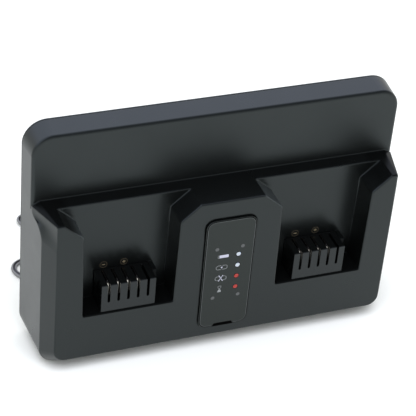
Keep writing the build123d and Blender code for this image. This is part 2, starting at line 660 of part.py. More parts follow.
def transformer():
    # Ferrite core round a wound bobbin, which stands on the board by its two end plates
    low_z = TRANSFORMER_Z - CORE_HEIGHT / 2
    high_z = TRANSFORMER_Z + CORE_HEIGHT / 2
    half = CORE_WIDTH / 2
    low = TRANSFORMER_DEPTH - CORE_WALL / 2
    high = TRANSFORMER_DEPTH + CORE_WALL / 2
    leg = CORE_LEG / 2
    core = slab(-half, half, low, high, low_z, high_z)
    for side in (-1, 1):
        inner_x = sorted((side * leg, side * (half - leg)))
        core -= slab(*inner_x, low - 1, high + 1, low_z + CORE_YOKE, high_z - CORE_YOKE)
    bore = leg * sqrt(2) + FIT
    length = CORE_HEIGHT - 2 * CORE_YOKE
    centre = Pos(0, y_at(TRANSFORMER_DEPTH), TRANSFORMER_Z)
    core = core - slab(-leg, leg, low - 1, high + 1, low_z + CORE_YOKE, high_z - CORE_YOKE)
    core += centre * Box(2 * leg, 2 * leg, CORE_HEIGHT)
    winding_length = length - 2 * BOBBIN_WALL
    winding = centre * (Cylinder(WINDING_RADIUS, winding_length) - Cylinder(bore, CORE_HEIGHT))
    bobbin = Part()
    reach = TRANSFORMER_DEPTH - BOARD_FACE
    plate_half = min(BOBBIN_WIDTH / 2, half - leg - FIT)
    for side in (-1, 1):
        z = TRANSFORMER_Z + side * (length - BOBBIN_WALL) / 2
        plate = slab(-plate_half, plate_half, BOARD_FACE, BOARD_FACE + 2 * reach,
                     z - BOBBIN_WALL / 2, z + BOBBIN_WALL / 2)
        bobbin += plate - Pos(0, y_at(TRANSFORMER_DEPTH), z) * Cylinder(bore, 2 * BOBBIN_WALL)
    return core, winding, bobbin


def standing_can(x, z, radius, length):
    # Electrolytic capacitor standing on the board, with its crimp groove and rounded top
    can = rod(x, z, radius, BOARD_FACE, BOARD_FACE + length)
    can = fillet(can.edges().sort_by(Axis.Y)[0], CAP_EDGE)
    groove_depth = BOARD_FACE + 2 * CAP_EDGE
    groove = rod(x, z, radius + 1, groove_depth, groove_depth + CAP_EDGE)
    return can - (groove - rod(x, z, radius - CAP_EDGE / 2, 0, DEPTH))


def cans(spots, radius, length):
    return Part(children=[standing_can(x, z, radius, length) for x, z in spots])


def choke():
    x, z = CHOKE_SPOT
    depth = BOARD_FACE + CHOKE_SECTION
    return Plane(origin=(x, y_at(depth), z), z_dir=(0, 1, 0)) * Torus(CHOKE_RADIUS, CHOKE_SECTION)


def fuse():
    x, z = FUSE_SPOT
    depth = BOARD_FACE + FUSE_RADIUS + 2 * CLIP_WALL
    middle = Pos(x, y_at(depth), z) * Rot(0, 90, 0)
    glass = middle * Cylinder(FUSE_RADIUS - FIT, FUSE_LENGTH)
    ends = Part()
    for side in (-1, 1):
        shift = side * (FUSE_LENGTH - FUSE_CAP) / 2
        ends += middle * Pos(0, 0, shift) * Cylinder(FUSE_RADIUS, FUSE_CAP)
    return glass + ends


def fuse_clips():
    # Two sprung clips, each a U of sheet round one end of the fuse
    x, z = FUSE_SPOT
    half = FUSE_RADIUS + CLIP_WALL
    top = BOARD_FACE + 2 * half + CLIP_WALL
    middle = Pos(x, y_at(BOARD_FACE + FUSE_RADIUS + 2 * CLIP_WALL), z)
    bore = middle * Rot(0, 90, 0) * Cylinder(FUSE_RADIUS, 2 * FUSE_LENGTH)
    clips = []
    for side in (-1, 1):
        clip_x = x + side * (FUSE_LENGTH - FUSE_CAP) / 2
        reach = FUSE_CAP / 2 - FIT
        clip = slab(clip_x - reach, clip_x + reach, BOARD_FACE, top, z - half, z + half)
        clip -= slab(clip_x - FUSE_CAP, clip_x + FUSE_CAP, BOARD_FACE + half, top + CLIP_WALL,
                     z - FUSE_RADIUS, z + FUSE_RADIUS)
        clips.append(clip - bore)
    return Part(children=clips)


def heat_sink(side):
    # Aluminium extrusion standing on the board, its fins above the face that takes the transistor
    low_x = side * SINK_X - SINK_WIDTH / 2
    reach = BOARD_FACE + SINK_REACH
    sink = slab(low_x, low_x + SINK_WIDTH, BOARD_FACE, reach, SINK_Z, SINK_Z + SINK_WALL)
    pitch = (SINK_WIDTH - FIN_WALL) / (FIN_COUNT - 1)
    for index in range(FIN_COUNT):
        x = low_x + index * pitch
        sink += slab(x, x + FIN_WALL, BOARD_FACE, reach, SINK_Z, SINK_Z + SINK_WALL + FIN_HEIGHT)
    return sink


def power_transistor(side):
    x = side * SINK_X
    half = TRANSISTOR_WIDTH / 2
    low = BOARD_FACE + LEG_LENGTH
    body = slab(x - half, x + half, low, low + TRANSISTOR_LENGTH, SINK_Z - TRANSISTOR_WALL, SINK_Z)
    leg_z = SINK_Z - TRANSISTOR_WALL / 2
    for step in (-1, 0, 1):
        leg_x = x + step * LEG_PITCH
        body += slab(leg_x - LEG_WALL / 2, leg_x + LEG_WALL / 2, BOARD_FACE, low + FIT,
                     leg_z - LEG_WALL / 2, leg_z + LEG_WALL / 2)
    return body


def strain_relief():
    # Moulded on the cord: a flange inside the recess's roof, a neck through it and a grooved taper
    roof = relief_plane(POCKET_TOP_Z)
    taper = Pos(0, 0, RELIEF_LENGTH / 2) * Cone(RELIEF_ROOT_RADIUS, RELIEF_TIP_RADIUS, RELIEF_LENGTH)
    collar = Pos(0, 0, RELIEF_FLANGE / 2) * Cylinder(RELIEF_FLANGE_RADIUS, RELIEF_FLANGE)
    neck = Pos(0, 0, -REAR_RIM / 2) * Cylinder(RELIEF_ROOT_RADIUS - FIT, REAR_RIM)
    flange = Pos(0, 0, -REAR_RIM - RELIEF_FLANGE / 2) * Cylinder(RELIEF_FLANGE_RADIUS, RELIEF_FLANGE)
    relief = taper + collar + neck + flange
    for index in range(RELIEF_GROOVES):
        middle = Pos(0, 0, RELIEF_FLANGE + 1.5 * GROOVE_WIDTH + index * GROOVE_PITCH)
        ring = middle * Cylinder(RELIEF_FLANGE_RADIUS, GROOVE_WIDTH)
        relief -= ring - middle * Cylinder(RELIEF_TIP_RADIUS - FIT, GROOVE_WIDTH)
    return roof * relief


def route_path(points):
    # Straight runs joined by the largest tangent arcs that 0.45 of the shorter run allows
    spots = [Vector(x, BACK_Y + behind, z) for x, behind, z in points]
    radii = []
    for before, corner, after in zip(spots, spots[1:], spots[2:]):
        first = corner - before
        second = after - corner
        turn = radians(first.get_angle(second))
        radii.append(0.45 * min(first.length, second.length) / tan(turn / 2))
    print("bend radii", [round(radius, 1) for radius in radii])
    return FilletPolyline(*spots, radius=radii)


def inner_lead():
    # From the flange of the strain relief up and across to the main board
    end_x, end_z = INNER_LEAD_END
    low_z = POCKET_TOP_Z + REAR_RIM + RELIEF_FLANGE
    points = [(CORD_X, y_at(CORD_DEPTH), low_z), (CORD_X, y_at(CORD_DEPTH), low_z + INNER_LEAD_RISE),
              ((CORD_X + end_x) / 2, y_at(INNER_LEAD_DEPTH), end_z),
              (end_x, y_at(INNER_LEAD_DEPTH), end_z), (end_x, y_at(BOARD_FACE), end_z)]
    return tube(bent_path(points, 2 * CORD_RADIUS), CORD_RADIUS)


def biarc(start, heading, end, end_heading, reach):
    # Two tangent arcs from start to end; reach is the tangent length at the end
    chord = end - start
    across = chord.dot(chord) - 2 * reach * chord.dot(end_heading)
    first = across / (2 * chord.dot(heading) + 2 * reach)
    near = start + heading * first
    far = end - end_heading * reach
    joint = (near * reach + far * first) / (first + reach)
    middle_heading = (far - near).normalized()
    return [Edge.make_tangent_arc(start, heading, joint),
            Edge.make_tangent_arc(joint, middle_heading, end)], joint, middle_heading


def hank_spot(index):
    # Loop ends and waist points in turn: the loops close in to the innermost waist, climb
    # half a layer on each side of it and open out again above
    turns_in = (HANK_QUARTERS - abs(index - HANK_QUARTERS)) / 4
    rise = min(max(index - HANK_QUARTERS + 1, 0), 2) / 2
    half_length = HANK_HALF_LENGTH - HANK_STEP * turns_in
    waist = HANK_WAIST - HANK_WAIST_STEP * turns_in
    x, behind = HANK_CENTRE
    shift, heading = (((-half_length, 0), (0, -1)), ((0, -waist), (1, 0)),
                      ((half_length, 0), (0, 1)), ((0, waist), (-1, 0)))[index % 4]
    spot = Vector(x + shift[0], BACK_Y + behind + shift[1],
                  HANK_LOW_Z + (HANK_HIGH_Z - HANK_LOW_Z) * rise)
    return spot, Vector(*heading, 0), HANK_END_RADIUS - HANK_STEP * turns_in, waist, half_length


def hank_reach(index):
    # Tangent length of the end arc between a waist point and the next end of the loop
    radius, waist, half_length = hank_spot(index)[2:]
    side = radius - waist
    along = half_length - radius
    span = (side ** 2 + along ** 2) / (2 * side)
    angle = atan2(along, span - side)
    return radius * tan((pi / 2 + angle) / 2)


def hank_edges():
    last = 2 * HANK_QUARTERS + 1
    start, heading = hank_spot(0)[:2]
    edges = [Edge.make_line(start - heading * 2 * CORD_RADIUS, start)]
    for index in range(last):
        spot, heading = hank_spot(index)[:2]
        target, end_heading = hank_spot(index + 1)[:2]
        if index % 2 == 1:
            edges += biarc(spot, heading, target, end_heading, hank_reach(index + 1))[0]
        else:
            joint, direction = biarc(target, -end_heading, spot, -heading, hank_reach(index))[1:]
            edges += [Edge.make_tangent_arc(spot, heading, joint),
                      Edge.make_tangent_arc(joint, -direction, target)]
    spot, heading = hank_spot(last)[:2]
    target, end_heading = hank_spot(last + 1)[:2]
    arcs, joint, direction = biarc(spot, heading, target, end_heading, hank_reach(last + 1))
    end = joint + direction * 2 * CORD_RADIUS
    return edges + [arcs[0], Edge.make_line(joint, end)], end, direction


def least_gap(edges, diameter):
    # Least distance between stretches that are far apart along the path, less a diameter
    spots = []
    travelled = 0
    for edge in edges:
        count = max(round(4 * edge.length / diameter), 1)
        for step in range(count):
            spots.append((travelled + edge.length * step / count, tuple(edge @ (step / count))))
        travelled += edge.length
    least = 2 * diameter
    for number, (way, spot) in enumerate(spots):
        for far_way, other in spots[number + 1:]:
            if far_way - way > 4 * diameter:
                least = min(least, dist(spot, other))
    return least - diameter


def cord_hank(edges):
    path = Wire(edges)
    hank = sweep(Plane(origin=path @ 0, z_dir=path % 0) * Circle(CORD_RADIUS), path=path)
    bends = [edge.radius for edge in edges if edge.geom_type == GeomType.CIRCLE]
    print("hank length", round(path.length, 1), "least bend", round(min(bends), 1))
    print("hank gap", round(least_gap(edges, 2 * CORD_RADIUS), 2))
    return hank


def hank_tie():
    # Flat strip round the waist of the hank
    x, behind = HANK_CENTRE
    spread = HANK_WAIST_STEP / 4
    centre = (x - TIE_WIDTH / 2, BACK_Y + behind + spread, (HANK_LOW_Z + HANK_HIGH_Z) / 2)
    middle = Plane(origin=centre, x_dir=(0, 1, 0), z_dir=(1, 0, 0))
    reach = CORD_RADIUS + TIE_GAP / 2
    width = 2 * (HANK_WAIST + reach)
    height = HANK_HIGH_Z - HANK_LOW_Z + 2 * reach
    inner = RectangleRounded(width, height, reach)
    outer = RectangleRounded(width + 2 * TIE_WALL, height + 2 * TIE_WALL, reach + TIE_WALL)
    return extrude(middle * (outer - inner), TIE_WIDTH)


def plug_lead_points(end, direction):
    start = (end.X, end.Y - BACK_Y, end.Z)
    onward = end + direction * 3 * CORD_RADIUS
    return [start, (onward.X, onward.Y - BACK_Y, onward.Z), *LEAD_BENDS]


def plug_body():
    # Tapered neck and a flat grip with rounded corners
    x, behind, z = LEAD_BENDS[-1]
    root = Plane(origin=(x, BACK_Y + behind, z), x_dir=(0, 1, 0), z_dir=(1, 0, 0))
    waist = root * Pos(0, 0, PLUG_NECK) * RectangleRounded(PLUG_ROOT_WIDTH, PLUG_ROOT_HEIGHT, PLUG_RADIUS)
    shoulder = root * Pos(0, 0, PLUG_NECK + PLUG_SHOULDER)
    shoulder *= RectangleRounded(PLUG_WIDTH, PLUG_HEIGHT, PLUG_RADIUS)
    neck = loft([root * Circle(PLUG_NECK_RADIUS), waist])
    return neck + loft([waist, shoulder]) + extrude(shoulder, PLUG_LENGTH - PLUG_SHOULDER)


def plug_pins():
    x, behind, z = LEAD_BENDS[-1]
    low_x = x + PLUG_NECK + PLUG_LENGTH
    pins = []
    for side in (-1, 1):
        centre = (low_x + PIN_LENGTH / 2, BACK_Y + behind + side * PIN_SPACING / 2, z)
        pin = Pos(*centre) * Box(PIN_LENGTH, PIN_WALL, PIN_WIDTH)
        pins.append(fillet(pin.edges().filter_by(Axis.Y).group_by(Axis.X)[-1], PIN_WIDTH / 4))
    return Part(children=pins)


def rubber_feet():
    feet = []
    for side in (-1, 1):
        for depth in FOOT_DEPTHS:
            foot = Pos(side * FOOT_X, y_at(depth), FOOT_HEIGHT / 2) * Cylinder(FOOT_RADIUS, FOOT_HEIGHT)
            feet.append(chamfer(foot.edges().sort_by(Axis.Z)[0], FOOT_HEIGHT / 4))
    return Part(children=feet)


def screws(make, spots, head_depth, length):
    return Part(children=[make(x, z, head_depth, length) for x, z in spots])


core, winding, bobbin = transformer()
tail = route_path(TAIL_POINTS)
edges, hank_end, hank_direction = hank_edges()
lead = route_path(plug_lead_points(hank_end, hank_direction))
hank_length = sum(edge.length for edge in edges)
print("cord length", round(RELIEF_LENGTH + tail.length + hank_length + lead.length, 1))

nodes = {
    "front_cover": front_cover(),
    "rear_cover": rear_cover(),
    "status_panel": status_panel(),
    "status_board": status_board(),
    "status_screws": screws(screw, [(STATUS_BOSS_X, z) for z in STATUS_BOSS_HEIGHTS],
                            STATUS_BOARD_DEPTH, BOARD_SCREW_LENGTH),
    "main_board": main_board(),
    "board_screws": screws(front_screw, board_screw_spots(), BOARD_FACE, BOARD_SCREW_LENGTH),
    "transformer_core": core,
    "transformer_winding": winding,
    "transformer_bobbin": bobbin,
    "input_capacitors": cans(INPUT_CAP_SPOTS, INPUT_CAP_RADIUS, INPUT_CAP_LENGTH),
    "output_capacitors": cans(OUTPUT_CAP_SPOTS, OUTPUT_CAP_RADIUS, OUTPUT_CAP_LENGTH),
    "choke": choke(),
    "fuse": fuse(),
    "fuse_clips": fuse_clips(),
    "heat_sink_left": heat_sink(-1),
    "heat_sink_right": heat_sink(1),
    "power_transistors": Part(children=[power_transistor(side) for side in (-1, 1)]),
    "ribbon_cable": ribbon_cable(),
    "terminal_block_left": terminal_block(-1),
    "terminal_block_right": terminal_block(1),
    "contacts_left": contacts(-1),
    "contacts_right": contacts(1),
    "contact_wires_left": contact_wires(-1),
    "contact_wires_right": contact_wires(1),
    "block_screws": screws(screw, block_screw_spots(), BLOCK_REAR_DEPTH - FLANGE_WALL,
                           PAD_HEIGHT + FLANGE_WALL),
    "case_screws": screws(screw, CASE_SCREW_SPOTS, SCREW_HEAD + FIT, CASE_SCREW_LENGTH),
    "rubber_feet": rubber_feet(),
    "strain_relief": strain_relief(),
    "inner_lead": inner_lead(),
    "cord_tail": tube(tail, CORD_RADIUS),
    "cord_hank": cord_hank(edges),
    "cord_tie": hank_tie(),
    "plug_lead": tube(lead, CORD_RADIUS),
    "plug_body": plug_body(),
    "plug_pins": plug_pins(),
}
for name, z in zip(LED_NAMES, led_heights()):
    nodes[name] = light_pipe(z)

for name, shape in nodes.items():
    export_step(shape, f"parts/{name}.step")
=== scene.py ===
import math

import bmesh
import bpy
from mathutils import Matrix, Vector


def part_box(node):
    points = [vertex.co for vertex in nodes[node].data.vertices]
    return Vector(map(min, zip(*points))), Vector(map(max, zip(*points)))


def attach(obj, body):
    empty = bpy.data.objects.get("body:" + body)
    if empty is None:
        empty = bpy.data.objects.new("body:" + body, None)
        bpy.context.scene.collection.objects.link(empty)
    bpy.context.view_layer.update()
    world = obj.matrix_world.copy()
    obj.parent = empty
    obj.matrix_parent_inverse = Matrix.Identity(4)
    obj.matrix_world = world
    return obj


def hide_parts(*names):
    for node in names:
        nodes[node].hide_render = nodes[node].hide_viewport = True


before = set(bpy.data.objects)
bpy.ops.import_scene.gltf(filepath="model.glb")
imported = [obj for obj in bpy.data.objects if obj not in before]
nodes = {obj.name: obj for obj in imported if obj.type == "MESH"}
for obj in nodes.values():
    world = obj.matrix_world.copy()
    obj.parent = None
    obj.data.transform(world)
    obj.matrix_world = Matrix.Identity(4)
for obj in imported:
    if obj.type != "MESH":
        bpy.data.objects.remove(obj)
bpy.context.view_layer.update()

# Camera
# A long lens high up on the left, far enough off that the upright edges stay nearly
# parallel. Its place was solved from the corners of the case.
SENSOR = 36.0
LENS = 146.32
AIM = Vector((-0.00879, -0.0012, 0.11357))
CAMERA_DISTANCE = 1.26128
camera_axes = Matrix(((0.9352, -0.3458, 0.0759), (0.1457, 0.5712, 0.8077), (-0.3228, -0.7443, 0.5846)))
camera_data = bpy.data.cameras.new("camera")
camera_data.sensor_width = SENSOR
camera_data.lens = LENS
camera = bpy.data.objects.new("camera", camera_data)
bpy.context.collection.objects.link(camera)
camera.matrix_world = camera_axes.transposed().to_4x4()
camera.location = AIM + camera_axes[2] * CAMERA_DISTANCE
bpy.context.scene.camera = camera

# Mains lead
# Flat twin lead in soft PVC, extruded round two cores, about 1.7 m long. It leaves the
# recess in the back downward, shows one loop past the left side, and the rest is folded
# into a bow of flat loops behind the case. The plug lies behind the bow.
BACK_Y = 0.0288
LEAD_WIDTH = 0.0048
CORE_RADIUS = 0.00122
# Heights of the lead's middle: on the floor, and in the second layer of the bow.
FLOOR_LAYER = 0.00135
UPPER_LAYER = 0.0040
# The route's points are x, the distance behind the back, and z.
lead_points = [
    (-0.1100, -0.0100, 0.0280), (-0.1100, -0.0100, 0.0130), (-0.1100, 0.0000, FLOOR_LAYER),
    (-0.1112, 0.0150, FLOOR_LAYER), (-0.1130, 0.0330, FLOOR_LAYER), (-0.1165, 0.0485, FLOOR_LAYER),
    (-0.1250, 0.0608, FLOOR_LAYER), (-0.1299, 0.0698, FLOOR_LAYER), (-0.1277, 0.0785, FLOOR_LAYER),
    (-0.1190, 0.0830, FLOOR_LAYER), (-0.1070, 0.0845, FLOOR_LAYER), (-0.0971, 0.0754, FLOOR_LAYER),
    (-0.0971, 0.0631, FLOOR_LAYER)]
BOW_MIDDLE = (-0.0426, 0.0583)
BOW_HALF_LENGTH = 0.0545
BOW_END_RADIUS = 0.0295
BOW_WAIST = 0.0220
# How much shorter, and how much slimmer at the waist, each turn is than the one outside it.
BOW_STEP = 0.0054
BOW_WAIST_STEP = 0.0072
# The loops swell to their full width over this distance from the waist.
BOW_SWELL = 0.025
BOW_SQUARENESS = 0.77
QUARTERS_IN = 11
POINTS_A_QUARTER = 4


def bow_point(quarter):
    """A point of the bow, in quarter turns from its left end: inward on the floor, then outward on top."""
    turns_in = (QUARTERS_IN - abs(quarter - QUARTERS_IN)) / 4
    half_length = BOW_HALF_LENGTH - BOW_STEP * turns_in
    end_radius = BOW_END_RADIUS - BOW_STEP * turns_in
    waist = BOW_WAIST - BOW_WAIST_STEP * turns_in
    phase = math.pi + quarter * math.pi / 2
    along, across = (math.copysign(abs(value) ** BOW_SQUARENESS, value)
                     for value in (math.cos(phase), math.sin(phase)))
    swell = math.sin(min(abs(along) * half_length / BOW_SWELL, 1.0) * math.pi / 2) ** 2
    climb = min(max(quarter - QUARTERS_IN + 1, 0), 2) / 2
    return (BOW_MIDDLE[0] + along * half_length,
            BOW_MIDDLE[1] + across * (waist + (end_radius - waist) * swell),
            FLOOR_LAYER + (UPPER_LAYER - FLOOR_LAYER) * climb)


bow_points = (2 * QUARTERS_IN + 1) * POINTS_A_QUARTER + 1
lead_points += [bow_point(number / POINTS_A_QUARTER) for number in range(bow_points)]
lead_points += [
    (-0.0548, 0.0837, UPPER_LAYER), (-0.0605, 0.0882, UPPER_LAYER), (-0.0840, 0.1060, 0.0030),
    (-0.0974, 0.1155, FLOOR_LAYER), (-0.1040, 0.1240, FLOOR_LAYER), (-0.1082, 0.1330, 0.0022),
    (-0.1074, 0.1366, 0.0030), (-0.1030, 0.1378, 0.0040), (-0.0965, 0.1430, 0.0056),
    (-0.0930, 0.1465, 0.0066), (-0.0836, 0.1465, 0.0066)]
route_data = bpy.data.curves.new("lead_route", "CURVE")
route_data.dimensions = "3D"
route = route_data.splines.new("NURBS")
route.points.add(len(lead_points) - 1)
for spot, (x, behind, z) in zip(route.points, lead_points):
    spot.co = (x, BACK_Y + behind, z, 1.0)
route.order_u = 3
route.use_endpoint_u = True
route.resolution_u = 6
route_object = bpy.data.objects.new("lead_route", route_data)
bpy.context.collection.objects.link(route_object)
bpy.context.view_layer.update()
depsgraph = bpy.context.evaluated_depsgraph_get()
route_mesh = bpy.data.meshes.new_from_object(route_object.evaluated_get(depsgraph))
route_spots = [vertex.co.copy() for vertex in route_mesh.vertices]
bpy.data.objects.remove(route_object)
bpy.data.meshes.remove(route_mesh)
# Points nearer together than this count as one.
SAME_SPOT = 1e-6
lead_path = route_spots[:1]
lead_path += [spot for before, spot in zip(route_spots, route_spots[1:])
              if (spot - before).length > SAME_SPOT]


def new_piece(name, mesh, smooth=True):
    """An object at the origin that holds a finished mesh."""
    for face in mesh.polygons:
        face.use_smooth = smooth
    piece = bpy.data.objects.new(name, mesh)
    bpy.context.collection.objects.link(piece)
    return piece


def swept(name, path, outline, first_side):
    """A closed mesh of an outline, given as (side, up) pairs, carried along a path without twist.

    Its attribute "aside" holds how far each point stands from the outline's middle."""
    shape = bmesh.new()
    side = Vector(first_side)
    rings = []
    for number, spot in enumerate(path):
        ahead = path[min(number + 1, len(path) - 1)] - path[max(number - 1, 0)]
        ahead.normalize()
        side = side - ahead * side.dot(ahead)
        side.normalize()
        up = side.cross(ahead)
        rings.append([shape.verts.new(spot + side * a + up * b) for a, b in outline])
    for ring, after in zip(rings, rings[1:]):
        for number in range(len(ring)):
            following = (number + 1) % len(ring)
            shape.faces.new((ring[number], after[number], after[following], ring[following]))
    shape.faces.new(rings[0])
    shape.faces.new(list(reversed(rings[-1])))
    bmesh.ops.recalc_face_normals(shape, faces=shape.faces)
    mesh = bpy.data.meshes.new(name)
    shape.to_mesh(mesh)
    shape.free()
    aside = mesh.attributes.new("aside", "FLOAT", "POINT")
    aside.data.foreach_set("value", [abs(a) for _ in path for a, b in outline])
    return new_piece(name, mesh)


LOBE_STEPS = 10
lobe_centre = LEAD_WIDTH / 2 - CORE_RADIUS
lobe_reach = math.pi - math.acos(lobe_centre / CORE_RADIUS)
lead_outline = []
for turn in (0.0, math.pi):
    for step in range(LOBE_STEPS + 1):
        angle = lobe_reach * (2 * step / LOBE_STEPS - 1)
        x = lobe_centre + CORE_RADIUS * math.cos(angle)
        z = CORE_RADIUS * math.sin(angle)
        lead_outline.append((x * math.cos(turn) - z * math.sin(turn),
                             x * math.sin(turn) + z * math.cos(turn)))
mains_lead = swept("mains_lead", lead_path, lead_outline, (1, 0, 0))


def linear(code):
    """Linear RGBA of an sRGB hex colour."""
    parts = [int(code[start:start + 2], 16) / 255 for start in (1, 3, 5)]
    return (*[part / 12.92 if part <= 0.04045 else ((part + 0.055) / 1.055) ** 2.4 for part in parts], 1.0)


def add(tree, kind, inputs=None, **settings):
    """Adds a node with its settings.

    An input takes a value, a socket, or a node, which stands for its first output in use."""
    node = tree.nodes.new(kind)
    for name, value in settings.items():
        setattr(node, name, value)
    for key, value in (inputs or {}).items():
        if isinstance(value, bpy.types.Node):
            value = next(socket for socket in value.outputs if socket.enabled)
        if isinstance(value, bpy.types.NodeSocket):
            tree.links.new(value, node.inputs[key])
        else:
            node.inputs[key].default_value = value
    return node


def new_material(name, colour, roughness, **sockets):
    """A material with one Principled shader: its tree, the shader and the object coordinates."""
    material = bpy.data.materials.new(name)
    material.use_nodes = True
    tree = material.node_tree
    shader = tree.nodes["Principled BSDF"]
    shader.inputs["Base Color"].default_value = linear(colour)
    shader.inputs["Roughness"].default_value = roughness
    for key, value in sockets.items():
        shader.inputs[key.replace("_", " ")].default_value = value
    place = add(tree, "ShaderNodeTexCoord").outputs["Object"]
    return material, tree, shader, place


def grain(tree, shader, place, size, depth):
    """A bump of that grain size and depth, in metres, drawn coarser than the real one so that it shows."""
    noise = add(tree, "ShaderNodeTexNoise", {"Vector": place, "Scale": 1 / size, "Detail": 3.0})
    bump = add(tree, "ShaderNodeBump", {"Height": noise, "Distance": depth})
    tree.links.new(bump.outputs["Normal"], shader.inputs["Normal"])
    return bump


def mottle(tree, shader, place, size, colours, roughness):
    """Colour and roughness that drift between two values over patches of that size, in metres."""
    noise = add(tree, "ShaderNodeTexNoise", {"Vector": place, "Scale": 1 / size, "Detail": 4.0,
                                             "Roughness": 0.6})
    colour = add(tree, "ShaderNodeMix", {0: noise, 6: linear(colours[0]), 7: linear(colours[1])},
                 data_type="RGBA")
    tree.links.new(colour.outputs[2], shader.inputs["Base Color"])
    spread = add(tree, "ShaderNodeMapRange", {"Value": noise, "From Min": 0.3, "From Max": 0.7,
                                              "To Min": roughness[0], "To Max": roughness[1]})
    tree.links.new(spread.outputs["Result"], shader.inputs["Roughness"])


# The lead is black PVC. A pale lavender grey over each core is a painted highlight of the
# cores' lit tops, and the groove between the cores keeps the PVC's black.
soft_pvc, tree, shader, place = new_material("black_pvc_painted_highlight", "#707172", 0.3)
mottle(tree, shader, place, 0.004, ("#5e5f60", "#838485"), (0.24, 0.38))
grain(tree, shader, place, 0.002, 0.00001)
aside = add(tree, "ShaderNodeAttribute", attribute_name="aside").outputs["Fac"]
core_highlight_mask = add(tree, "ShaderNodeMapRange", {"Value": aside, "From Min": 0.0008, "From Max": 0.0013})
core_highlight_colour = shader.inputs["Base Color"].links[0].from_socket
colour = add(tree, "ShaderNodeMix", {0: core_highlight_mask, 6: linear("#0b0b0d"), 7: core_highlight_colour}, data_type="RGBA")
tree.links.new(colour.outputs[2], shader.inputs["Base Color"])
mains_lead.data.materials.append(soft_pvc)
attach(mains_lead, "root")
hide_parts("cord_tail", "cord_hank", "plug_lead")

# Lead tie
# A flat strip of black vinyl with a wire moulded into its middle, wrapped round the waist
# of the bow and closed by twisting its two ends together on top.
TIE_X = BOW_MIDDLE[0]
TIE_Y = BACK_Y + 0.0592
TIE_HALF = 0.0262
TIE_LOW = 0.0004
TIE_HIGH = 0.0060
TIE_ROUND = 0.0027
CORNER_STEPS = 6
STRIP_HALF = 0.003
STRIP_WALL = 0.0003
WIRE_HALF = 0.0012
WIRE_RISE = 0.0004
strip_section = ((-STRIP_HALF, 0), (-WIRE_HALF, 0), (0, WIRE_RISE), (WIRE_HALF, 0), (STRIP_HALF, 0),
                 (STRIP_HALF, -STRIP_WALL), (-STRIP_HALF, -STRIP_WALL))
tie_path = []
for corner, (y, z) in enumerate(((TIE_HALF, TIE_HIGH), (-TIE_HALF, TIE_HIGH),
                                 (-TIE_HALF, TIE_LOW), (TIE_HALF, TIE_LOW))):
    centre_y = y - math.copysign(TIE_ROUND, y)
    centre_z = z - TIE_ROUND if z == TIE_HIGH else z + TIE_ROUND
    for step in range(CORNER_STEPS + 1):
        angle = math.pi / 2 * (corner + step / CORNER_STEPS)
        tie_path.append((centre_y + TIE_ROUND * math.cos(angle), centre_z + TIE_ROUND * math.sin(angle)))
tie_shape = bmesh.new()
tie_rings = []
for y, z in tie_path:
    outward = Vector((0, y / TIE_HALF, (z - (TIE_LOW + TIE_HIGH) / 2) / (TIE_HIGH - TIE_LOW))).normalized()
    spot = Vector((TIE_X, TIE_Y + y, z))
    tie_rings.append([tie_shape.verts.new(spot + Vector((x, 0, 0)) + outward * up)
                      for x, up in strip_section])
for ring, after in zip(tie_rings, tie_rings[1:] + tie_rings[:1]):
    for number in range(len(ring)):
        following = (number + 1) % len(ring)
        tie_shape.faces.new((ring[number], after[number], after[following], ring[following]))
bmesh.ops.recalc_face_normals(tie_shape, faces=tie_shape.faces)
tie_mesh = bpy.data.meshes.new("lead_tie")
tie_shape.to_mesh(tie_mesh)
tie_shape.free()
lead_tie = new_piece("lead_tie", tie_mesh, smooth=False)
TWIST_TURNS = 3
TWIST_STEPS = 32
TWIST_LENGTH = 0.013
TWIST_RADIUS = 0.0009
TWIST_X = TIE_X + 0.0004
TWIST_Z = 0.0071
END_HALF = 0.0014
end_section = [(-END_HALF, -STRIP_WALL), (END_HALF, -STRIP_WALL),
               (END_HALF, STRIP_WALL), (-END_HALF, STRIP_WALL)]
tie_ends = []
for turn in (0.0, math.pi):
    strand = []
    for step in range(TWIST_STEPS + 1):
        angle = turn + step / TWIST_STEPS * TWIST_TURNS * math.tau
        strand.append(Vector((TWIST_X + step / TWIST_STEPS * TWIST_LENGTH,
                              TIE_Y + TWIST_RADIUS * math.cos(angle),
                              TWIST_Z + TWIST_RADIUS * math.sin(angle))))
    tie_ends.append(swept("lead_tie_end", strand, end_section, (0, -math.sin(turn), math.cos(turn))))
# Calendered vinyl: an even black skin, a little paler and duller than the case.
tie_vinyl, tree, shader, place = new_material("calendered_black_vinyl", "#202022", 0.5)
grain(tree, shader, place, 0.0008, 0.00002)
for piece in (lead_tie, *tie_ends):
    piece.data.materials.append(tie_vinyl)
    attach(piece, "root")
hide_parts("cord_tie")

# Studio
# A white tent: even pale light from all round. What is mirrored from high up is dim in
# front and cooler and stronger behind and to the left. One broad lamp stands above and in
# front, and a plain pale floor takes the shadow.
world = bpy.data.worlds.new("white_tent")
bpy.context.scene.world = world
world.use_nodes = True
tree = world.node_tree
tree.nodes.clear()
# The direction that is mirrored brightest, and the light levels, where 1 is white.
BACK_LEFT = (-0.6, 0.8, 0.0)
WHITE = (1.0, 1.0, 1.0, 1.0)
DIM_FRONT = (0.4, 0.42, 0.47, 1.0)
BRIGHT_BACK = (1.75, 1.84, 2.2, 1.0)
direction = add(tree, "ShaderNodeTexCoord").outputs["Generated"]
height = add(tree, "ShaderNodeSeparateXYZ", {0: direction}).outputs["Z"]
high_up = add(tree, "ShaderNodeMapRange", {"Value": height, "From Min": 0.1, "From Max": 0.5})
glossy_ray = add(tree, "ShaderNodeLightPath").outputs["Is Glossy Ray"]
mirrored = add(tree, "ShaderNodeMath", {0: high_up, 1: glossy_ray}, operation="MULTIPLY")
toward = add(tree, "ShaderNodeVectorMath", {0: direction, 1: BACK_LEFT}, operation="DOT_PRODUCT")
behind = add(tree, "ShaderNodeMapRange", {"Value": toward, "From Min": -0.3, "From Max": 0.3})
